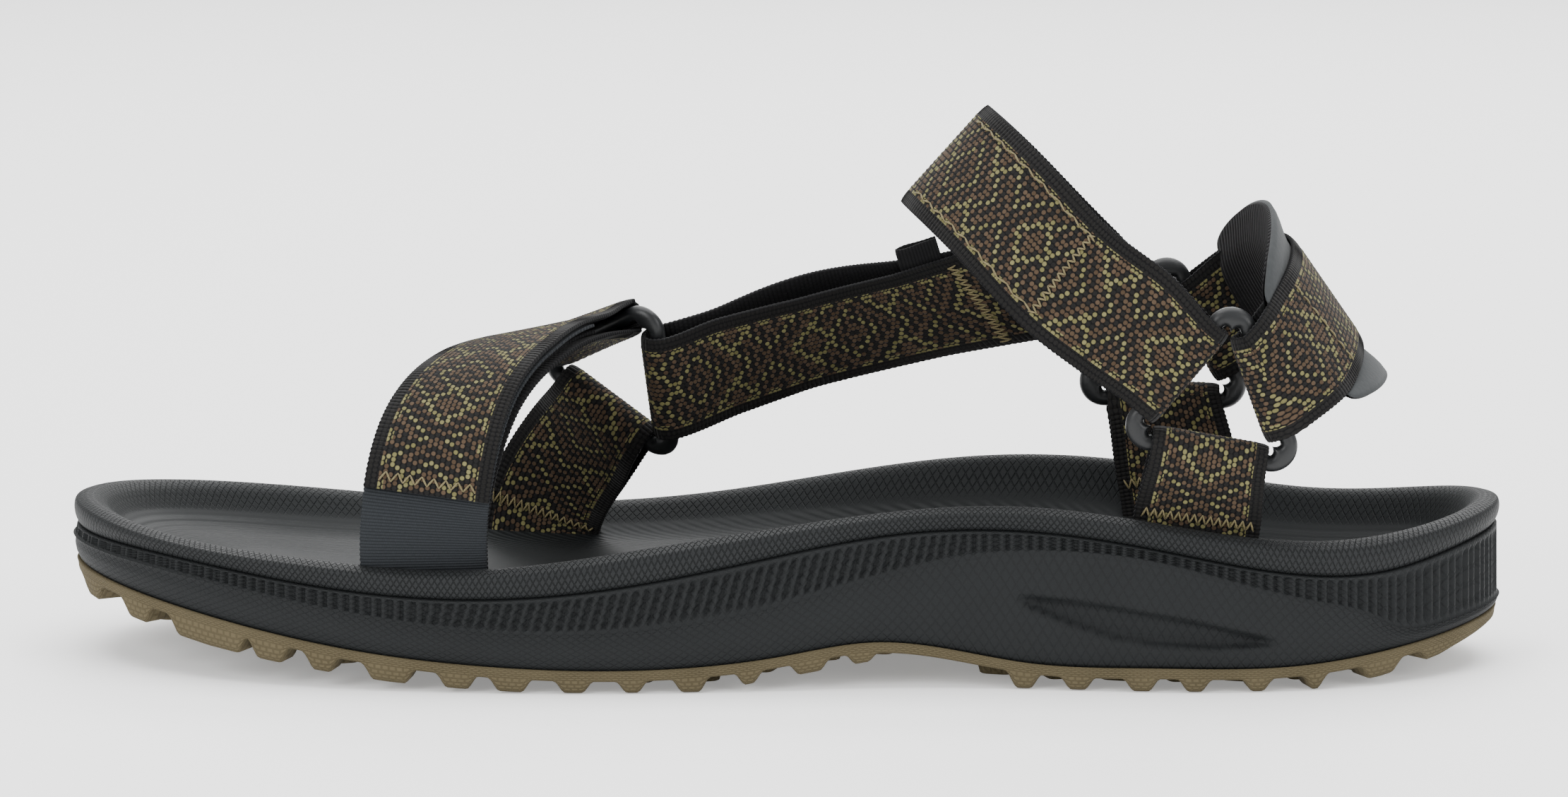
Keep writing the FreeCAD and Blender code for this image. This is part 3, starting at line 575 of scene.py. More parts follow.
# The lower wall bulges a little, then steps out to a fine ridge under the band.
WALL_BULGE = [
    (0, -0.8), (0.12, -0.25), (0.35, 0.35), (0.6, 0.6), (0.86, 0.45), (0.92, 0.5), (0.96, 1), (1, 0.5),
]
# Map coordinate of the rows that meet under the foot or the sole, out of sight.
HIDDEN_MAP = -20.0


def read_straight(profile, x):
    """Height of a profile with straight stretches at each x."""
    return np.interp(x, *np.transpose(profile))


def read(profile, x):
    """Height of a smooth profile at each x."""
    return read_straight(smooth_curve(profile)[0], x)


def between(inner, outer, x, y):
    """Height at a place between an inner and an outer profile."""
    share = (y + SIDE_REACH) / (2.0 * SIDE_REACH)
    return read(inner, x) * (1.0 - share) + read(outer, x) * share


class Edge:
    """Points round the outline of the sole, with the way inwards and the length gone at each."""

    def __init__(self, step):
        self.at, self.gone, knots = smooth_curve(OUTLINE, True, step)
        self.total = knots[-1]
        tangent = unit(np.roll(self.at, -1, 0) - np.roll(self.at, 1, 0))
        self.inward = np.stack([-tangent[:, 1], tangent[:, 0]], -1)
        x = np.clip(self.at[:, 0], -108.0, 106.0)
        self.spine = np.stack([x, sum(self.sides(x)) / 2.0], -1)

    def sides(self, x):
        """Y of the inner and of the outer side at each x."""
        halves = [self.at[self.at[:, 1] * sign > 0.0] for sign in (-1.0, 1.0)]
        return [read_straight(half[np.argsort(half[:, 0])], x) for half in halves]

    def inset(self, distance):
        """The outline moved inwards, by one distance or by one for each point."""
        return self.at + self.inward * np.reshape(distance, (-1, 1))

    def towards_spine(self, start, share):
        return self.inset(start) * (1.0 - share) + self.spine * share

    def map_along(self, rows):
        """The map's first coordinate for each row, with one more column than the points."""
        return np.tile(np.append(self.gone, self.total), (rows, 1))


def sole_piece(name, edge, rows, second, materials, row_material=0):
    """A surface from rows of points round the edge: second is the map's other coordinate for each row."""
    around, count = len(edge.at), len(rows)
    second = np.tile(np.array(second)[:, None], (1, around + 1))
    uv = np.stack([edge.map_along(count), second], -1)
    which = np.repeat(np.broadcast_to(row_material, count - 1), around)
    piece = grid_piece(name, np.stack(rows), materials, uv, capped=False, which=which)
    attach(piece, "root")
    return piece


def lifted(flat, z):
    return np.column_stack([flat, z])


def over(profile, flat, rise=0.0):
    """A row of points at a profile's height and a rise."""
    return lifted(flat, read(profile, flat[:, 0]) + rise)


def eased_rows(controls, parts=4):
    """Rows on smooth lines through control rows of numbers."""
    controls = np.array(controls, float)
    padded = np.vstack([2 * controls[0] - controls[1], controls, 2 * controls[-1] - controls[-2]])
    result = []
    for i in range(1, len(controls)):
        a, b, c, d = padded[i - 1:i + 3]
        for part in range(parts):
            t = part / parts
            result.append(0.5 * (2 * b + (c - a) * t + (2 * a - 5 * b + 4 * c - d) * t * t
                                 + (3 * b - a - 3 * c + d) * t ** 3))
    result.append(controls[-1])
    return result


def make_topsole():
    """The foot side: a rounded rim with a scale texture, sloping down to a dished footbed."""
    edge = Edge(0.8)
    parts = 4
    controls = eased_rows(RIM_SECTION, parts)
    crown = 1 + RIM_SECTION.index(RIM_CROWN) * parts
    wall_end = RIM_SECTION[-1][0]
    rows = [over(FOOTBED, edge.spine, -2.2)]
    for inset, parting, rim, foot, rise in controls:
        flat = edge.inset(inset)
        z = (parting * between(PARTING_INNER, PARTING_OUTER, flat[:, 0], flat[:, 1])
             + rim * between(RIM_INNER, RIM_OUTER, flat[:, 0], flat[:, 1])
             + foot * read(FOOTBED, flat[:, 0]) + rise)
        rows.append(lifted(flat, z))
    # The map runs up the outside of the rim, and then by the distance in from the edge.
    section = np.array([row[len(edge.at) // 4] for row in rows[1:]])
    gone = length_along(section)
    second = [HIDDEN_MAP] + list(gone - gone[crown - 1] + RIM_CROWN[0])
    second[crown:] = [control[0] for control in controls[crown - 1:]]
    for share in np.linspace(0.0, 1.0, 15)[1:]:
        rows.append(over(FOOTBED, edge.towards_spine(wall_end, share)))
        second.append(wall_end + 26.0 * share)
    foot_side = np.arange(len(rows) - 1) >= crown + 2
    piece = sole_piece("topsole_cup", edge, rows, second, (rim_foam, footbed_foam), foot_side)
    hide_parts("topsole")


SWEEP_TOP = [(46, 20.4), (64.7, 18.4), (84.7, 15), (103, 10.6)]
SWEEP_LOW = [(46, 19.8), (50, 16.8), (58, 13.6), (67.5, 10.6), (76, 9.3), (89, 8.8), (103, 9.4)]
SWEEP_DEEP = 2.3
SLOT_PITCH, SLOT_PITCH_RISE, SLOT_LEAN = 1.75, 0.55, 0.30
# Height of the lower wall and of the band on the map.
WALL_MAP, BAND_MAP = 14.0, 9.0


def sweep_depth(x, z):
    """Depth of the smooth sunken sweep in the wall beside the arch and heel."""
    top, low = read_straight(SWEEP_TOP, x), read_straight(SWEEP_LOW, x)
    inside = ramp(z - low, -0.2, 0.9) * ramp(top - z, -0.3, 1.6)
    return SWEEP_DEEP * inside * ramp(x, 45.0, 52.0) * (1.0 - ramp(x, 96.0, 103.0))


def make_midsole():
    """The foam wall: a plain lower wall with a sunken sweep, a fine ridge, and a slotted band."""
    edge = Edge(0.52)
    x, y = edge.at.T
    bottom = read(OUTSOLE_TOP, x)
    top = between(PARTING_INNER, PARTING_OUTER, x, y)
    low = np.maximum(top - read(BAND_TALL, x), bottom + 2.0)
    pitch = SLOT_PITCH + SLOT_PITCH_RISE * ramp(x, -128.0, -95.0)
    phase = np.cumsum(np.gradient(edge.gone) / pitch)
    phase *= round(phase[-1]) / phase[-1]
    lean = SLOT_LEAN * bell(x, -72.0, 34.0, 10.0) * np.where(y < 0.0, 1.0, -1.0)
    rows = [over(OUTSOLE_TOP, edge.spine), lifted(edge.inset(4.0), bottom)]
    second = [HIDDEN_MAP, -4.0]
    for share in np.linspace(0.0, 1.0, 27):
        z = bottom + (low - bottom) * share
        proud = read_straight(WALL_BULGE, share) - sweep_depth(x, z)
        rows.append(lifted(edge.inset(-proud), z))
        second.append(WALL_MAP * share)
    for share in np.linspace(0.0, 1.0, 21)[1:]:
        z = low + (top - 0.9 - low) * share
        place = phase - lean * (z - low) / pitch
        slot = ramp(0.5 - 0.5 * np.cos(2.0 * np.pi * place), 0.30, 0.62) * bell(share, 0.10, 0.90, 0.05)
        rows.append(lifted(edge.inset(-0.45 + 0.25 * share + 1.0 * slot), z))
        second.append(WALL_MAP + BAND_MAP * share)
    for inset, rise in ((0.0, -0.7), (0.9, -0.55), (2.6, -1.5)):
        rows.append(lifted(edge.inset(inset), top + rise))
        second.append(24.0 + inset)
    rows.append(lifted(edge.inset(9.0), np.minimum(top - 2.0, read(FOOTBED, x) - 3.0)))
    rows.append(over(FOOTBED, edge.spine, -3.5))
    second += [33.0, 50.0]
    piece = sole_piece("midsole_wall", edge, rows, second, (wall_foam,))
    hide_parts("midsole", "arch_shank", "heel_shock_pad")


# Middle and length of each lug along the edge of the sole.
EDGE_LUGS = [
    (-145, 4), (-134.5, 5.5), (-119, 15), (-106, 7), (-95, 5.6), (-81, 9),
    (-67, 6.6), (-56, 7), (-43, 6), (-31, 4.6), (-19, 5.8), (-7, 4),
    (5.4, 6.5), (16, 4.6), (49, 5.2), (60, 5.2), (73, 5.5), (84, 5),
    (97, 4.6), (109, 3.4), (123, 7.2), (142, 20),
]
PLATE = 2.0
# Lugs inside the edge row: size, space along and across the sole, distance from its edge, and turn.
LUG_LONG, LUG_WIDE, LUG_SPACE, LUG_ACROSS, LUG_INSET, LUG_TURN = 7.4, 8.6, 12.4, 14.0, 15.0, 16.0
LUG_FIRST, LUG_ROWS, LUG_CORNER = -129.0, 22, 0.45


def make_outsole():
    """The rubber plate with lugs that flow out of its edge."""
    edge = Edge(0.6)
    x = edge.at[:, 0]
    top = read(OUTSOLE_TOP, x)
    plate = top - PLATE
    lug = np.max([bell(x, at - long / 2.0, at + long / 2.0, 1.3) for at, long in EDGE_LUGS], axis=0)
    low = plate - lug * np.maximum(plate - read_straight(GROUND, x), 0.0)
    rows = [over(OUTSOLE_TOP, edge.spine, -0.2)]
    for inset, z in (
        (6.0, top - 0.1), (0.9, top + 0.05), (0.05, top + 0.25), (-0.25, top), (-0.1, top - 0.5),
        (0.0, top - 1.1), (0.05, plate + 0.3), (0.15, plate * 0.6 + low * 0.4),
        (0.3, plate * 0.25 + low * 0.75), (0.5, low + 0.35), (1.0, low), (4.0, low), (7.2, low),
        (7.7, low * 0.7 + plate * 0.3), (8.6, plate),
    ):
        rows.append(lifted(edge.inset(inset), z))
    rows.append(over(OUTSOLE_TOP, edge.spine, -PLATE))
    second = [HIDDEN_MAP] + list(-6.0 + 0.9 * np.arange(len(rows) - 2)) + [30.0]
    piece = sole_piece("outsole_tread", edge, rows, second, (tread,))
    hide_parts("outsole")


def make_inner_lugs():
    """Rounded block lugs inside the edge row, turned left and right in turn."""
    edge = Edge(2.0)
    columns = 24
    angle = np.linspace(0.0, 2.0 * np.pi, columns, endpoint=False)
    wave = np.stack([np.cos(angle), np.sin(angle)], -1)
    outline = np.sign(wave) * np.abs(wave) ** LUG_CORNER * (LUG_LONG / 2.0, LUG_WIDE / 2.0)
    points, faces = [], []
    for step in range(LUG_ROWS):
        x = LUG_FIRST + step * LUG_SPACE
        if 22.0 < x < 44.0:
            continue
        near, far = edge.sides(x)
        near, far = near + LUG_INSET, far - LUG_INSET
        count = max(2, int(round((far - near) / LUG_ACROSS)) + 1)
        high, low = read(OUTSOLE_TOP, x) - PLATE * 0.6, read_straight(GROUND, x)
        for row, y in enumerate(np.linspace(near, far, count)):
            turn = LUG_TURN if (row + step) % 2 else -LUG_TURN
            cosine, sine = direction(turn)
            turned = outline @ [[cosine, sine], [-sine, cosine]]
            faces += [face[::-1] for face in tube_faces(len(points) * columns, 4, columns)]
            for share, grow in ((0.0, 1.22), (0.75, 1.03), (0.94, 0.98), (1.0, 0.88)):
                z = np.full(columns, high + (low - high) * share)
                points.append(lifted(turned * grow + (x, y), z))
    points = np.concatenate(points)
    uv = np.concatenate([points[face][:, :2] for face in faces])
    piece = mesh_piece("outsole_inner_lugs", points, faces, (tread,), uv)
    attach(piece, "root")


# ---- straps: routes

# Thickness of the webbing and of the tapes, and the gap between layers.
WEBBING, TAPE, GAP = 1.5, 1.2, 0.3
# Half the distance between the middles of a doubled strap's layers.
HALF_PAIR = WEBBING / 2.0 + GAP / 2.0
# Widths: a strap with its selvages, a strap at a bar, the ankle strap, the heel strap at a bar, and a tape.
STRAP_WIDE, AT_BAR, ANKLE_WIDE, HEEL_AT_BAR, TAPE_WIDE = 25.6, 23.6, 26.6, 22.4, 22.0
# Length over which a strap narrows or moves aside near a bar, and a distance to a bar that isn't there.
EASE, FAR = 15.0, 1000.0
# Distance between the rows of a strap's mesh, and what a leg leaves free before its turn round a bar.
STEP, JOIN_GAP = 0.5, 0.6
# A ring's side between its corners' middles, their outer radius, and the bar's thickness.
RING_SIDE, RING_CORNER, RING_BAR = 25.0, 5.3, 3.4
BAR_REACH = RING_SIDE / (2.0 * math.sqrt(3.0)) + RING_CORNER - RING_BAR / 2.0
# Radius of the webbing's middle round a bar: in a flap's fold, in a sewn loop and in the heel strap's loops.
WRAP_RADIUS, LOOP_RADIUS, HEEL_RADIUS = [inside + WEBBING / 2.0 for inside in (2.6, 2.5, 3.1)]
# Length of the sewn tails inside the ankle strap's loop and the heel strap's loops.
ANKLE_TAIL, HEEL_TAIL = 32.0, 17.0
# Heights of a closing's layers over its strap.
LOOP_TAPE_AT = WEBBING / 2.0 + TAPE / 2.0
HOOK_TAPE_AT = LOOP_TAPE_AT + TAPE + GAP
FLAP_AT = HOOK_TAPE_AT + TAPE / 2.0 + WEBBING / 2.0
# Length of the flap's line that belongs to its fold, from the ring bar.
FOLD_REACH = 2.6
# Angles of a ring's bars about its centre.
LOWER_BAR, REAR_BAR, FRONT_BAR = 270.0, 30.0, 150.0
# The connector's ends: their way along the ankle strap, how far they move that way, and their slant.
END_WAY, END_SHIFT, END_SLANT = np.array([0.976, 0.0, 0.218]), 9.6, 0.62
# How much further apart the connector's two layers stand in the middle of its length.
CONNECTOR_BULGE = 5.0
# The heel pad's height at its ends and in its middle, and half its height on the map.
PAD_END, PAD_MIDDLE, PAD_HALF_MAP = 24.0, 42.4, 21.5
# Thickness of the pad's foam and of its lining, and how far its edges curl away from the heel.
PAD_THICK, LINING_THICK, PAD_FLARE = 5.0, 0.8, 1.7
PAD_FROM_BAR, PAD_COLUMNS = 10.0, 28


def ring_at(name, turn=0.0, axes=((1.0, 0.0, 0.0), (0.0, 0.0, 1.0))):
    """Centre of a ring and its in-plane axes, turned by some degrees."""
    turned = np.array([direction(turn), direction(turn + 90.0)]) @ np.array(axes)
    return np.array(joints[name + "_turn"]["pos_m"]) / MM, turned


MEDIAL = ring_at("medial_ring", -10.0)
LATERAL = ring_at("lateral_ring", -1.5)
TOE = ring_at("toe_ring", axes=((0.782, -0.324, -0.532), (0.323, -0.540, 0.778)))


def bar(ring, degrees):
    """Middle and direction of the bar that lies at an angle from the ring's centre."""
    centre, axes = ring
    return centre + direction(degrees) @ axes * BAR_REACH, direction(degrees + 90.0) @ axes


class Run:
    """Cross-sections along a strap: middles, width directions, travel, and distances to its ends."""

    def __init__(self, middle, across, along, gone, left):
        self.middle, self.gone, self.left = middle, gone, left
        self.along = unit(along)
        self.across = unit(across - self.along * (across * self.along).sum(-1, keepdims=True))

    def face(self):
        return np.cross(self.across, self.along)

    def length(self):
        return (len(self.middle) - 1) * STEP

    def moved(self, distance):
        shift = self.face() * np.reshape(distance, (-1, 1))
        return Run(self.middle + shift, self.across, self.along, self.gone, self.left)

    def where(self, keep):
        return Run(self.middle[keep], self.across[keep], self.along[keep], self.gone[keep], self.left[keep])

    def span(self, low, high):
        """The part between two distances from its end."""
        return self.where((self.left > low) & (self.left < high))

    def back(self):
        turned = self.where(slice(None, None, -1))
        turned.along = -turned.along
        return turned

    def eased(self, far, near, end="left"):
        """Moved off its line, by one distance away from a bar and another at it."""
        share = smooth_step(1.0 - getattr(self, end) / EASE)
        return self.moved(far + (near - far) * share)


def route(points, widths, from_bar=False):
    """A run along a smooth line through points, with a width direction at each."""
    middle, gone, knots = smooth_curve(points, step=STEP)
    across = resampled(widths, knots, gone)
    started = gone if from_bar else np.full(len(gone), FAR)
    return Run(middle, across, np.gradient(middle, axis=0), started, gone[-1] - gone)


def squared(way, across):
    """A direction made square to a strap's width."""
    return unit(way - across * (across @ way))


def wrap(bar_at, run, index, side, heading, radius):
    """Half a turn round a bar, from one side of the strap to the other."""
    middle, line = bar_at
    across = line if line @ run.across[index] > 0.0 else -line
    along = squared(run.along[index], across)
    spoke, travel = np.cross(across, along) * side, along * heading
    angle = np.linspace(0.0, math.pi, int(math.pi * radius / STEP) + 1)[:, None]
    place = middle + (spoke * np.cos(angle) + travel * np.sin(angle)) * radius
    way = travel * np.cos(angle) - spoke * np.sin(angle)
    none = np.zeros(len(angle))
    return Run(place, np.tile(across, (len(angle), 1)), way, none, none)


def joined(*runs):
    """Runs joined end to end, spaced evenly again and a little smoothed at the joins."""
    tables = [
        np.concatenate([getattr(run, name) for run in runs])
        for name in ("middle", "across", "gone", "left")
    ]
    keep = np.append(True, np.diff(length_along(tables[0])) > 0.02)
    length = length_along(tables[0][keep])
    even = np.linspace(0.0, length[-1], int(round(length[-1] / STEP)) + 1)
    middle, across, gone, left = [resampled(table[keep], length, even) for table in tables]
    for _ in range(6):
        for rows in (middle, across):
            rows[1:-1] = rows[1:-1] * 0.5 + (rows[:-2] + rows[2:]) * 0.25
    return Run(middle, across, np.gradient(middle, axis=0), gone[:, 0], left[:, 0])


# ---- straps: meshes

TOP_COLUMNS, BACK_COLUMNS = 45, 14
# Share of the thickness that a strap's edges lose, and how sharply.
EDGE_LOSS, EDGE_POWER = 0.22, 14


def band_rows(run, side, width, at_bar, thick, relief):
    """Rows of points round the flat section of a strap, and their maps."""
    row = np.arange(len(run.middle))
    beat = np.where(row % 2 == 0, 1.0, -1.0)
    share = smooth_step(np.minimum(1.0, np.minimum(run.gone, run.left) / EASE))
    half = (at_bar + (width - at_bar) * share) / 2.0
    face = run.face() * side
    # Each column is a place across, a height over the middle, and the map's first coordinate.
    columns = []
    for k, a in enumerate(np.linspace(1.0, -1.0, TOP_COLUMNS + 1)):
        float_here = (k % 2) * (((k - 1) // 2 + row) % 2)
        selvage = abs(a) > 1.0 - 2.0 * SELVAGE / WEBBING_WIDE
        height = relief * (1.1 * beat - 1.0) if selvage else relief * (2.0 * float_here - 0.6)
        round_off = thick * EDGE_LOSS * abs(a) ** EDGE_POWER
        columns.append((a, thick / 2.0 - round_off + height, (a + 1.0) * WEBBING_WIDE / 2.0))
    for h in (EDGE_LOSS, -EDGE_LOSS):
        columns.append((-1.012 + 0.008 * beat, thick * h, 0.0))
    for a in np.linspace(-1.0, 1.0, BACK_COLUMNS + 1):
        round_off = thick * EDGE_LOSS * abs(a) ** EDGE_POWER
        height = -thick / 2.0 + round_off - relief * 0.6 * beat
        columns.append((a, height, (a + 1.0) * WEBBING_WIDE / 2.0))
    for h in (-EDGE_LOSS, EDGE_LOSS):
        columns.append((1.012 - 0.008 * beat, thick * h, WEBBING_WIDE))
    points = np.stack([
        run.middle + run.across * (a * half)[:, None] + face * np.reshape(h, (-1, 1))
        for a, h, _ in columns
    ], 1)
    return points, map_rows(row, [u for _, _, u in columns] + [WEBBING_WIDE])


def map_rows(row, u):
    """A map for rows that lie a step apart: u is the first coordinate of each column."""
    return np.stack(np.meshgrid(u, row * STEP), -1)


def strap_piece(name, run, side=1.0, width=STRAP_WIDE, at_bar=AT_BAR, thick=WEBBING, relief=0.07,
                faces=(webbing_face, webbing_back), first_row=0):
    """A woven strap: the patterned face on the side given, a ribbed back and serrated edges."""
    points, uv = band_rows(run, side, width, at_bar, thick, relief)
    uv[:, :, 1] += first_row * STEP
    rows, columns = points.shape[:2]
    which = np.tile(np.arange(columns) >= TOP_COLUMNS, rows - 1)
    return grid_piece(name, points, faces, uv, which=which, spin=side > 0.0)


def declare(piece, run, body, node):
    """Attach a strap piece to the body that it rides on, and hide the part that it stands for."""
    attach(piece, body)
    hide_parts(node)
    run.length() * MM


def closing_layers(prefix, run, bar_at, tape_span, flap_end, hook_start, pull_tab, tab_wide):
    """The fixed loop tape, the flap that turns back round the ring, and its hook tape."""
    body, hinge = prefix + "_flap", np.array(joints[prefix + "_flap_peel"]["pos_m"])
    tape_run = joined(run.span(*tape_span).moved(LOOP_TAPE_AT))
    tape = strap_piece(prefix + "_loop_pile", tape_run, 1.0, TAPE_WIDE, TAPE_WIDE - 1.0, TAPE, 0.03,
                       (loop_face, loop_face))
    declare(tape, tape_run, "root", prefix + "_loop_tape")
    # The fold turns round the bar between the strap and the flap. The flap itself is stiff.
    lead = run.span(0.2, 5.0)
    turn = wrap(bar_at, run, -1, -1.0, 1.0, WRAP_RADIUS)
    flap_run = run.span(JOIN_GAP, flap_end).eased(FLAP_AT, 2.0 * WRAP_RADIUS)
    fold = joined(lead, turn, flap_run.where(flap_run.left < FOLD_REACH).back())
    whole = joined(flap_run.where(flap_run.left > FOLD_REACH - STEP).back())
    folded = strap_piece(prefix + "_flap_fold", fold, -1.0)
    away = run.face()[-1] * WRAP_RADIUS * MM * 0.75
    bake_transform(folded)
    fold.length() * MM
    flap = strap_piece(prefix + "_flap_webbing", whole, -1.0, first_row=len(fold.middle) - 1)
    declare(flap, whole, body, prefix + "_flap")
    hook_run = joined(run.span(hook_start, flap_end + pull_tab).moved(HOOK_TAPE_AT))
    hook = strap_piece(prefix + "_hook_band", hook_run, 1.0, tab_wide, tab_wide - 1.0, TAPE, 0.02,
                       (hook_face, hook_face))
    declare(hook, hook_run, body, prefix + "_hook_tape")
    return whole


def make_toe_strap():
    """The strap over the toes, with its closing at the toe ring."""
    middle, line = bar(TOE, FRONT_BAR)
    approach = squared(np.array([0.36, 0.86, -0.10]), -line)
    end = middle - np.cross(-line, approach) * WRAP_RADIUS
    points = [
        (-73.5, -41.6, 11.5), (-73.5, -41.6, 19), (-73.6, -43.8, 33), (-71.2, -41.8, 46),
        (-65.8, -32.5, 56.8), (-58, -18, 62.4), (-49, 1, 63), end,
    ]
    widths = [
        (1, 0, 0), (1, 0, 0), (1, 0, 0.02), (0.99, -0.10, 0.05),
        (0.96, -0.25, 0.10), (0.91, -0.36, 0.14), (0.82, -0.48, 0.26), -line,
    ]
    run = route(points, widths)
    whole = joined(run.where(run.left > 1.0))
    strap = strap_piece("toe_strap_webbing", whole, -1.0)
    declare(strap, whole, "root", "toe_strap")
    return closing_layers("toe", run, (middle, line), tape_span=(18.0, 74.0), flap_end=80.0,
                          hook_start=22.0, pull_tab=16.0, tab_wide=STRAP_WIDE)


def make_ankle_strap():
    """The strap over the instep, looped round the inner ring, with its closing at the outer ring."""
    start, start_line = bar(MEDIAL, FRONT_BAR)
    middle, line = bar(LATERAL, FRONT_BAR)
    fall = squared(np.array([0.77, 0.06, -0.64]), -line)
    end = middle - np.cross(-line, fall) * (WRAP_RADIUS + HALF_PAIR)
    points = [
        start, start + (-9.86, 0.8, 8.47), (59.5, -40.5, 82.4), (47.9, -32.6, 93.6), (38.6, -20, 101.8),
        (34.4, -7, 104.4), (36.4, 5, 101.6), (43.6, 12.8, 94.2), (53.6, 15.6, 83.6), end,
    ]
    widths = [-start_line] + [(0.667, 0, 0.747)] * 7 + [(0.63, 0, 0.78), -line]
    run = route(points, widths, from_bar=True)
    tail = run.where((run.gone > 0.5) & (run.gone < ANKLE_TAIL))
    turn = wrap((start, start_line), run, 0, -1.0, -1.0, LOOP_RADIUS)
    inner = tail.eased(-HALF_PAIR, -LOOP_RADIUS, "gone").back()
    outer = run.where((run.gone > 0.5) & (run.left > 1.0)).eased(HALF_PAIR, LOOP_RADIUS, "gone")
    whole = joined(inner, turn, outer)
    strap = strap_piece("ankle_strap_webbing", whole, 1.0, ANKLE_WIDE)
    declare(strap, whole, "root", "ankle_strap")
    flap = closing_layers("ankle", run.moved(HALF_PAIR), (middle, line),
                          tape_span=(16.0, 48.0), flap_end=50.0, hook_start=20.0, pull_tab=3.0,
                          tab_wide=TAPE_WIDE)
    return whole, flap


def near_end(run, reach=36.0):
    """1 at the sewn ends of a doubled strap, easing to 0 at some distance from them."""
    return smooth_step((run.left - run.left.max() + reach) / reach)[:, None]


def make_connector():
    """The doubled strap from the toe ring, with its slanted ends sewn to the ankle strap's outer leg."""
    middle, line = bar(TOE, REAR_BAR)
    points = [(41, 20.4, 70.4), (24, 20.4, 66.6), (4, 18.6, 61.8), (-12, 15.2, 57.4), middle]
    widths = [(-0.60, -0.36, 0.71), (-0.32, -0.56, 0.76), (-0.22, -0.58, 0.79), (-0.14, -0.48, 0.87), line]
    run = route(points, widths)
    near = run.eased(HALF_PAIR, LOOP_RADIUS)
    turn = wrap((middle, line), run, -1, 1.0, 1.0, LOOP_RADIUS)
    far = run.eased(-HALF_PAIR, -LOOP_RADIUS)
    share = np.linspace(0.0, 1.0, len(far.middle))
    far = far.moved(-CONNECTOR_BULGE * np.sin(np.pi * share) ** 2)
    whole = joined(near.span(JOIN_GAP, FAR), turn, far.span(JOIN_GAP, FAR).back())
    whole.middle += END_WAY * END_SHIFT * near_end(whole)
    whole = joined(whole)
    whole.across -= END_WAY * END_SLANT * near_end(whole)
    strap = strap_piece("connector_webbing", whole, 1.0)
    declare(strap, whole, "root", "connector_strap")
    return whole


def anchor_loop(name, ring, line_sign, points, widths):
    """A doubled strap from its slot up to a ring's lower bar, round it and down again."""
    middle, line = bar(ring, LOWER_BAR)
    run = route(points + [middle], widths + [line * line_sign] * 2)
    turn = wrap((middle, line), run, -1, -1.0, 1.0, LOOP_RADIUS)
    near = run.span(JOIN_GAP, FAR)
    whole = joined(near.eased(-HALF_PAIR, -LOOP_RADIUS), turn, near.eased(HALF_PAIR, LOOP_RADIUS).back())
    strap = strap_piece(name + "_webbing", whole, -1.0)
    declare(strap, whole, "root", name)
    return whole


def make_anchor_loops():
    """The doubled straps that tie the three rings to the sole."""
    flat, slanted = (1, 0, 0), (-0.98, 0.19, 0)
    return (
        anchor_loop("medial_side_strap", MEDIAL, 1.0,
                    [(83.3, -41.2, 14.5), (83.3, -41.2, 22), (85, -42.8, 37)], [flat] * 2),
        anchor_loop("lateral_side_strap", LATERAL, -1.0,
                    [(85.6, 15.3, 14.5), (85.5, 15.4, 22), (83.2, 17.2, 37)], [slanted] * 2),
        anchor_loop("toe_lateral_strap", TOE, -1.0,
                    [(-53.2, 42.2, 10.5), (-53, 42, 17), (-49.6, 38.4, 27.5), (-43, 30.4, 38.4)],
                    [(-1, 0, 0), (-0.98, 0.10, 0.14), (-0.88, 0.24, 0.36)]),
    )


def heel_run():
    """The heel strap's line, from the inner ring's rear bar to the outer ring's."""
    start, start_line = bar(MEDIAL, REAR_BAR)
    end, end_line = bar(LATERAL, REAR_BAR)
    points = [
        start, (104.8, -42.6, 68), (109.2, -35, 72.8), (111.4, -24, 75.8),
        (111.8, -12, 77), (109.6, 0, 76.6), (105.2, 10.6, 74.4), (98.8, 17.6, 70.6), end,
    ]
    return route(points, [-start_line] + [(0.57, 0, -0.82)] * 7 + [-end_line], from_bar=True)


def make_heel_strap(run):
    """The strap behind the heel, with a loop round each ring's rear bar and a tail inside it."""
    body = run.where((run.gone > JOIN_GAP) & (run.left > JOIN_GAP))
    outer = body.eased(HALF_PAIR, HEEL_RADIUS, "gone").eased(0.0, HEEL_RADIUS - HALF_PAIR)
    head = body.where(body.gone < HEEL_TAIL).eased(-HALF_PAIR, -HEEL_RADIUS, "gone").back()
    foot = body.where(body.left < HEEL_TAIL).eased(-HALF_PAIR, -HEEL_RADIUS).back()
    first = wrap(bar(MEDIAL, REAR_BAR), run, 0, -1.0, -1.0, HEEL_RADIUS)
    last = wrap(bar(LATERAL, REAR_BAR), run, -1, 1.0, 1.0, HEEL_RADIUS)
    whole = joined(head, first, outer, last, foot)
    strap = strap_piece("heel_strap_webbing", whole, 1.0, STRAP_WIDE, HEEL_AT_BAR)
    declare(strap, whole, "heel_strap", "heel_strap")
    return whole


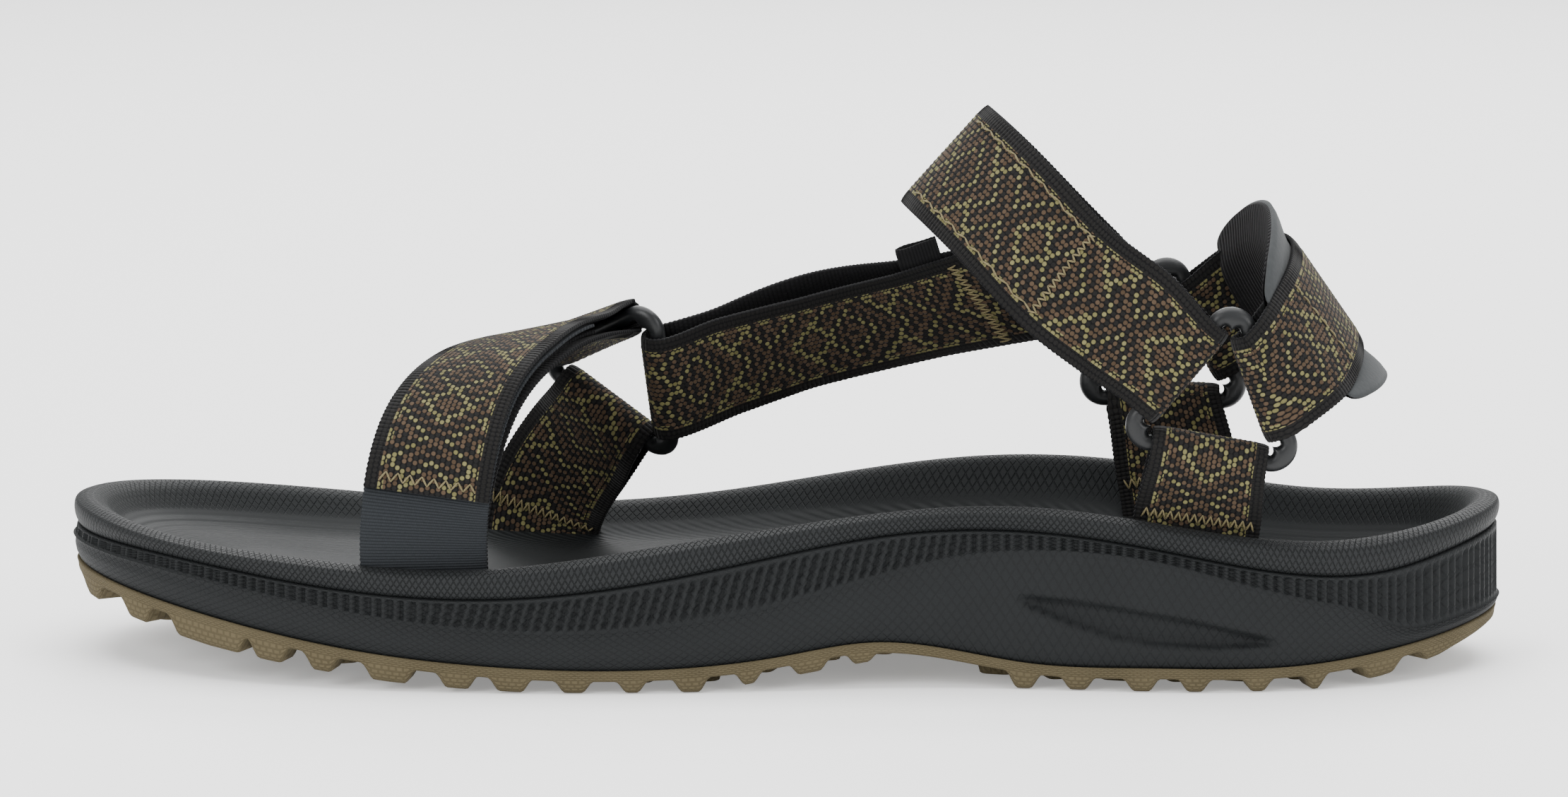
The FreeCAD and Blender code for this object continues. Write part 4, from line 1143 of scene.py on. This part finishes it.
def pad_points(run, low, high, edge_low, edge_high):
    """Rows round a pad's section: two faces at distances from the run that pinch together at its edges."""
    count, face = len(run.middle), run.face()
    share = np.sin(np.pi * (np.arange(count) + 0.5) / count)
    half = (PAD_END + (PAD_MIDDLE - PAD_END) * share ** 0.42) / 2.0
    thin = smooth_step(np.minimum(1.0, share * 2.2))
    a = np.linspace(1.0, -1.0, PAD_COLUMNS)
    crown = 1.0 - np.abs(a) ** 2.6
    flare = PAD_FLARE * ramp(np.abs(a) * PAD_HALF_MAP, 12.5, 21.0)
    outer = edge_high + (high - edge_high) * crown + flare
    inner = edge_low + (low - edge_low) * crown + flare
    rows = [(place, [[h]]) for place, h in zip(a, outer)]
    for place, h, over in zip(a[::-1], inner[::-1], outer[::-1]):
        rows.append((place, (over + (h - over) * (0.35 + 0.65 * thin))[:, None]))
    points = np.stack([run.middle + run.across * (place * half)[:, None] + face * h for place, h in rows], 1)
    u = np.append([(place + 1.0) * PAD_HALF_MAP for place, _ in rows], 2.0 * PAD_HALF_MAP)
    return points, map_rows(np.arange(count), u)


def make_heel_pad(run):
    """The heel cushion: grey facing over foam, and a ribbed lining against the heel."""
    inner = run.where((run.gone > PAD_FROM_BAR) & (run.left > PAD_FROM_BAR))
    base = HALF_PAIR - WEBBING / 2.0
    lining_at = base - PAD_THICK
    points, uv = pad_points(inner, lining_at, base - 0.05, base - 1.0, base - 0.1)
    cushion = grid_piece("heel_pad_cushion", points, (microfibre,), uv, spin=True)
    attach(cushion, "heel_strap")
    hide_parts("heel_pad_facing", "heel_pad_foam")
    points, uv = pad_points(inner, lining_at - LINING_THICK, lining_at, base - 1.7, base - 1.0)
    lining = grid_piece("heel_pad_knit", points, (lining_knit,), uv, spin=True)
    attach(lining, "heel_strap")
    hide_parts("heel_pad_lining")
    long = inner.length() * MM


def make_side_tab():
    """A small folded tape sewn in behind the connector's upper edge."""
    low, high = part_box("connector_side_tab")
    middle = np.array((low + high) / 2.0) / MM + (1.5, 4.5, 2.0)
    heading, across = np.array([-0.94, -0.04, -0.30]), np.array([-0.28, -0.30, 0.90])
    face = np.cross(across, heading)
    fold = [(-4.5, 0.55), (0, 0.65), (3.9, 0.5), (4.5, 0), (3.9, -0.5), (0, -0.65), (-4.5, -0.55)]
    run = route([middle + heading * ahead + face * off for ahead, off in fold], [across] * len(fold))
    tab = strap_piece("connector_tab", run, 1.0, 10.0, 10.0, 0.8, 0.02, (side_tape, side_tape))
    declare(tab, run, "root", "connector_side_tab")


# ---- stitching

# Radius of the thread, and height of a stitch over the strap's middle.
THREAD_RADIUS, LIFT = 0.22, WEBBING / 2.0 + 0.08


def on_strap(run, along, across, lift):
    """A point over a strap's face, at a distance along it and off its middle, and the face's normal."""
    place = np.clip(along / STEP, 0.0, len(run.middle) - 1.001)
    i, share = int(place), place - int(place)
    middle, width, normal = [
        table[i] * (1.0 - share) + table[i + 1] * share
        for table in (run.middle, run.across, run.face())
    ]
    return middle + width * across + normal * lift, normal * np.sign(lift)


def thread_piece(name, stitches, body):
    """Stitches as short arched lengths of thread, from pairs of points with a normal."""
    around, along = 6, 5
    angle = np.linspace(0.0, 2.0 * np.pi, around, endpoint=False)[:, None]
    points, faces = [], []
    for start, end, normal in stitches:
        way = unit(end - start)
        sideways = np.cross(way, normal)
        section = sideways * np.cos(angle) + np.cross(sideways, way) * np.sin(angle)
        faces += tube_faces(len(points) * around, along, around)
        for share in np.linspace(0.0, 1.0, along):
            arch = math.sin(math.pi * share)
            middle = start + (end - start) * share + normal * THREAD_RADIUS * 0.9 * arch
            points.append(middle + section * THREAD_RADIUS * (0.55 + 0.45 * arch))
    piece = mesh_piece(name, np.concatenate(points), faces, (gold_thread,))
    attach(piece, body)


def stitched(run, pairs, lift):
    """Stitches over a strap's face between pairs of (along, across) places."""
    stitches = []
    for start, end in pairs:
        first, normal = on_strap(run, *start, lift)
        stitches.append((first, on_strap(run, *end, lift)[0], normal))
    return stitches


def row_way(start, end):
    """The start, the way and the length of a row between two (along, across) places."""
    start, gap = np.array(start), np.subtract(end, start)
    length = np.linalg.norm(gap)
    return start, gap / length, length


def straight_row(run, start, end, lift, stitch, space):
    """Lockstitches in a line on a strap."""
    start, way, length = row_way(start, end)
    count = max(1, int(length / (stitch + space)))
    middles = [start + way * (k + 0.5) * length / count for k in range(count)]
    return stitched(run, [(at - way * stitch / 2.0, at + way * stitch / 2.0) for at in middles], lift)


def zigzag_row(run, start, end, lift, wide, pitch):
    """A zigzag line of stitches on a strap."""
    start, way, length = row_way(start, end)
    sideways = np.array([-way[1], way[0]]) * wide
    count = max(2, int(length / pitch))
    corners = [
        start + way * k * length / count + sideways * (0.5 if k % 2 else -0.5)
        for k in range(count + 1)
    ]
    return stitched(run, zip(corners, corners[1:]), lift)


def flap_row(name, flap):
    """The zigzag row across a flap's end."""
    end = flap.length() - 2.6
    rows = zigzag_row(flap, (end, -10.0), (end, 10.0), -LIFT, wide=1.8, pitch=1.2)
    thread_piece(name + "_stitches", rows, name)


def make_stitching(toe_flap, ankle, ankle_flap, connector, anchors, heel):
    """Rows of thread at the flaps' ends, on the straps and at the strap bases."""
    flap_row("toe_flap", toe_flap)
    cross = ANKLE_TAIL + math.pi * LOOP_RADIUS + 29.5
    rows = zigzag_row(ankle, (cross, -10.2), (cross + 1.5, 10.2), LIFT, wide=1.5, pitch=0.8)
    for side in (-9.7, 9.7):
        rows += zigzag_row(ankle, (cross, side), (cross + 44.0, side), LIFT, wide=0.6, pitch=2.4)
    thread_piece("ankle_strap_stitches", rows, "root")
    flap_row("ankle_flap", ankle_flap)
    rows = zigzag_row(connector, (11.3, -11.5), (6.7, 11.5), LIFT, wide=2.2, pitch=0.75)
    thread_piece("connector_stitches", rows, "root")
    for name, run, deep in zip(("medial", "lateral", "toe_side"), anchors, (20.5, 19.0, 11.0)):
        rows = []
        for at in (run.length() - deep, deep):
            rows += zigzag_row(run, (at, -11.6), (at, 11.6), -LIFT, wide=2.2, pitch=0.8)
        thread_piece(name + "_base_stitches", rows, "root")
    inset = HEEL_TAIL + math.pi * HEEL_RADIUS + 20.0
    rows = []
    for at in (inset, heel.length() - inset):
        rows += straight_row(heel, (at, -10.5), (at, 10.5), LIFT, stitch=2.2, space=0.5)
    thread_piece("heel_strap_stitches", rows, "heel_strap")


# ---- rings

def ring_outline():
    """Points round a ring's middle line, the way out at each, and how far its corners broaden."""
    corner, reach = RING_CORNER - RING_BAR / 2.0, RING_SIDE / math.sqrt(3.0)
    flat, out, broad = [], [], []
    for turn in (90.0, 210.0, 330.0):
        spoke, following = direction(turn) * reach, direction(turn + 120.0) * reach
        for angle in np.linspace(turn - 60.0, turn + 60.0, 17):
            out.append(direction(angle))
            flat.append(spoke + out[-1] * corner)
            broad.append(0.9 * math.cos(math.radians((angle - turn) * 1.5)) ** 2)
        for share in np.linspace(0.0, 1.0, 14)[1:-1]:
            flat.append(spoke * (1.0 - share) + following * share + out[-1] * corner)
            out.append(out[-1])
            broad.append(0.0)
    return np.array(flat), np.array(out), np.array(broad)[:, None]


def make_rings():
    """Moulded rings: round bars between broad, flattened corners."""
    flat, out, broad = ring_outline()
    section = np.linspace(0.0, 2.0 * np.pi, 21)
    for name, (centre, axes) in (("medial_ring", MEDIAL), ("lateral_ring", LATERAL), ("toe_ring", TOE)):
        normal = np.cross(axes[0], axes[1])
        rows = []
        for angle in section:
            outward = math.cos(angle) * (RING_BAR / 2.0 + broad) - broad
            rows.append(centre + (flat + out * outward) @ axes + normal * math.sin(angle) * RING_BAR / 2.0)
        around = np.linspace(0.0, 100.0, len(flat) + 1)
        uv = np.stack(np.meshgrid(around, np.linspace(0.0, 12.0, len(section))), -1)
        piece = grid_piece(name + "_moulding", np.stack(rows), (plastic,), uv, capped=False)
        weld(piece)
        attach(piece, name)
        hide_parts(name)


def weld(piece):
    """Join the points that lie at the same place."""
    mesh = bmesh.new()
    mesh.from_mesh(piece.data)
    bmesh.ops.remove_doubles(mesh, verts=mesh.verts, dist=0.01 * MM)
    mesh.to_mesh(piece.data)
    mesh.free()


# ---- stage, lights and camera

def floor_look():
    """Near-white floor with a faint glow, so that it reads as plain white."""
    look = Look("pale_floor", roughness=0.6, specular=0.05)
    cloud = look.noise(0.004, 2.0, *look.place())
    feed(look.tree, look.shader, {
        "Base Color": look.mix(cloud, (0.95, 0.95, 0.95), (0.97, 0.97, 0.97)),
        "Emission Color": (1.0, 1.0, 1.0, 1.0), "Emission Strength": 0.28,
    })
    return look.material


FLOOR_REACH = 8000.0


def make_stage():
    """A flat pale floor."""
    ends = (-FLOOR_REACH, FLOOR_REACH)
    points = np.array([[(x, y, -0.2) for x in ends] for y in ends])
    floor = grid_piece("floor", points, (floor_look(),), points[:, :, :2], ring=False, capped=False)


def aimed(name, data, place, target):
    """A lamp or a camera at a place, pointed at a target."""
    holder = bpy.data.objects.new(name, data)
    holder.location = place
    holder.rotation_mode = "QUATERNION"
    way = Vector(np.array(target) - np.array(place))
    holder.rotation_quaternion = way.to_track_quat("-Z", "Y")
    bpy.context.scene.collection.objects.link(holder)
    return holder


def area_light(name, place, wide, tall, power):
    light = bpy.data.lights.new(name, "AREA")
    light.shape = "RECTANGLE"
    light.size, light.size_y = wide, tall
    light.energy = power
    aimed(name, light, place, (0.0, 0.0, 0.05))


def make_lights():
    """Soft studio light from four sides and an even white surround. Places and sizes are metres."""
    world = bpy.data.worlds.new("studio")
    world.use_nodes = True
    surround = {"Color": (1.0, 1.0, 1.0, 1.0), "Strength": 0.9}
    feed(world.node_tree, world.node_tree.nodes["Background"], surround)
    bpy.context.scene.world = world
    area_light("top_softbox", (0.0, 0.15, 1.5), 1.8, 1.4, 38.0)
    area_light("front_left", (-1.1, -1.3, 0.9), 0.9, 0.9, 20.0)
    area_light("front_right", (1.2, -1.1, 0.7), 0.7, 0.9, 11.0)
    area_light("rear", (0.2, 1.2, 0.9), 1.2, 0.6, 14.0)


def make_camera():
    """The camera looks along +Y from a little above, with a long lens."""
    elevation, distance, target = math.radians(9.3), 1.5, np.array([0.0, 0.0, 0.0525])
    camera = bpy.data.cameras.new("camera")
    camera.sensor_width = 36.0
    camera.lens = 163.8
    camera.clip_end = 20.0
    away = np.array([0.0, -math.cos(elevation), math.sin(elevation)])
    bpy.context.scene.camera = aimed("camera", camera, target + away * distance, target)


# ---- build

make_topsole()
make_midsole()
make_outsole()
make_inner_lugs()
toe_flap = make_toe_strap()
ankle, ankle_flap = make_ankle_strap()
connector = make_connector()
anchors = make_anchor_loops()
heel_line = heel_run()
heel = make_heel_strap(heel_line)
make_heel_pad(heel_line)
make_side_tab()
make_rings()
make_stitching(toe_flap, ankle, ankle_flap, connector, anchors, heel)
make_stage()
make_lights()
make_camera()
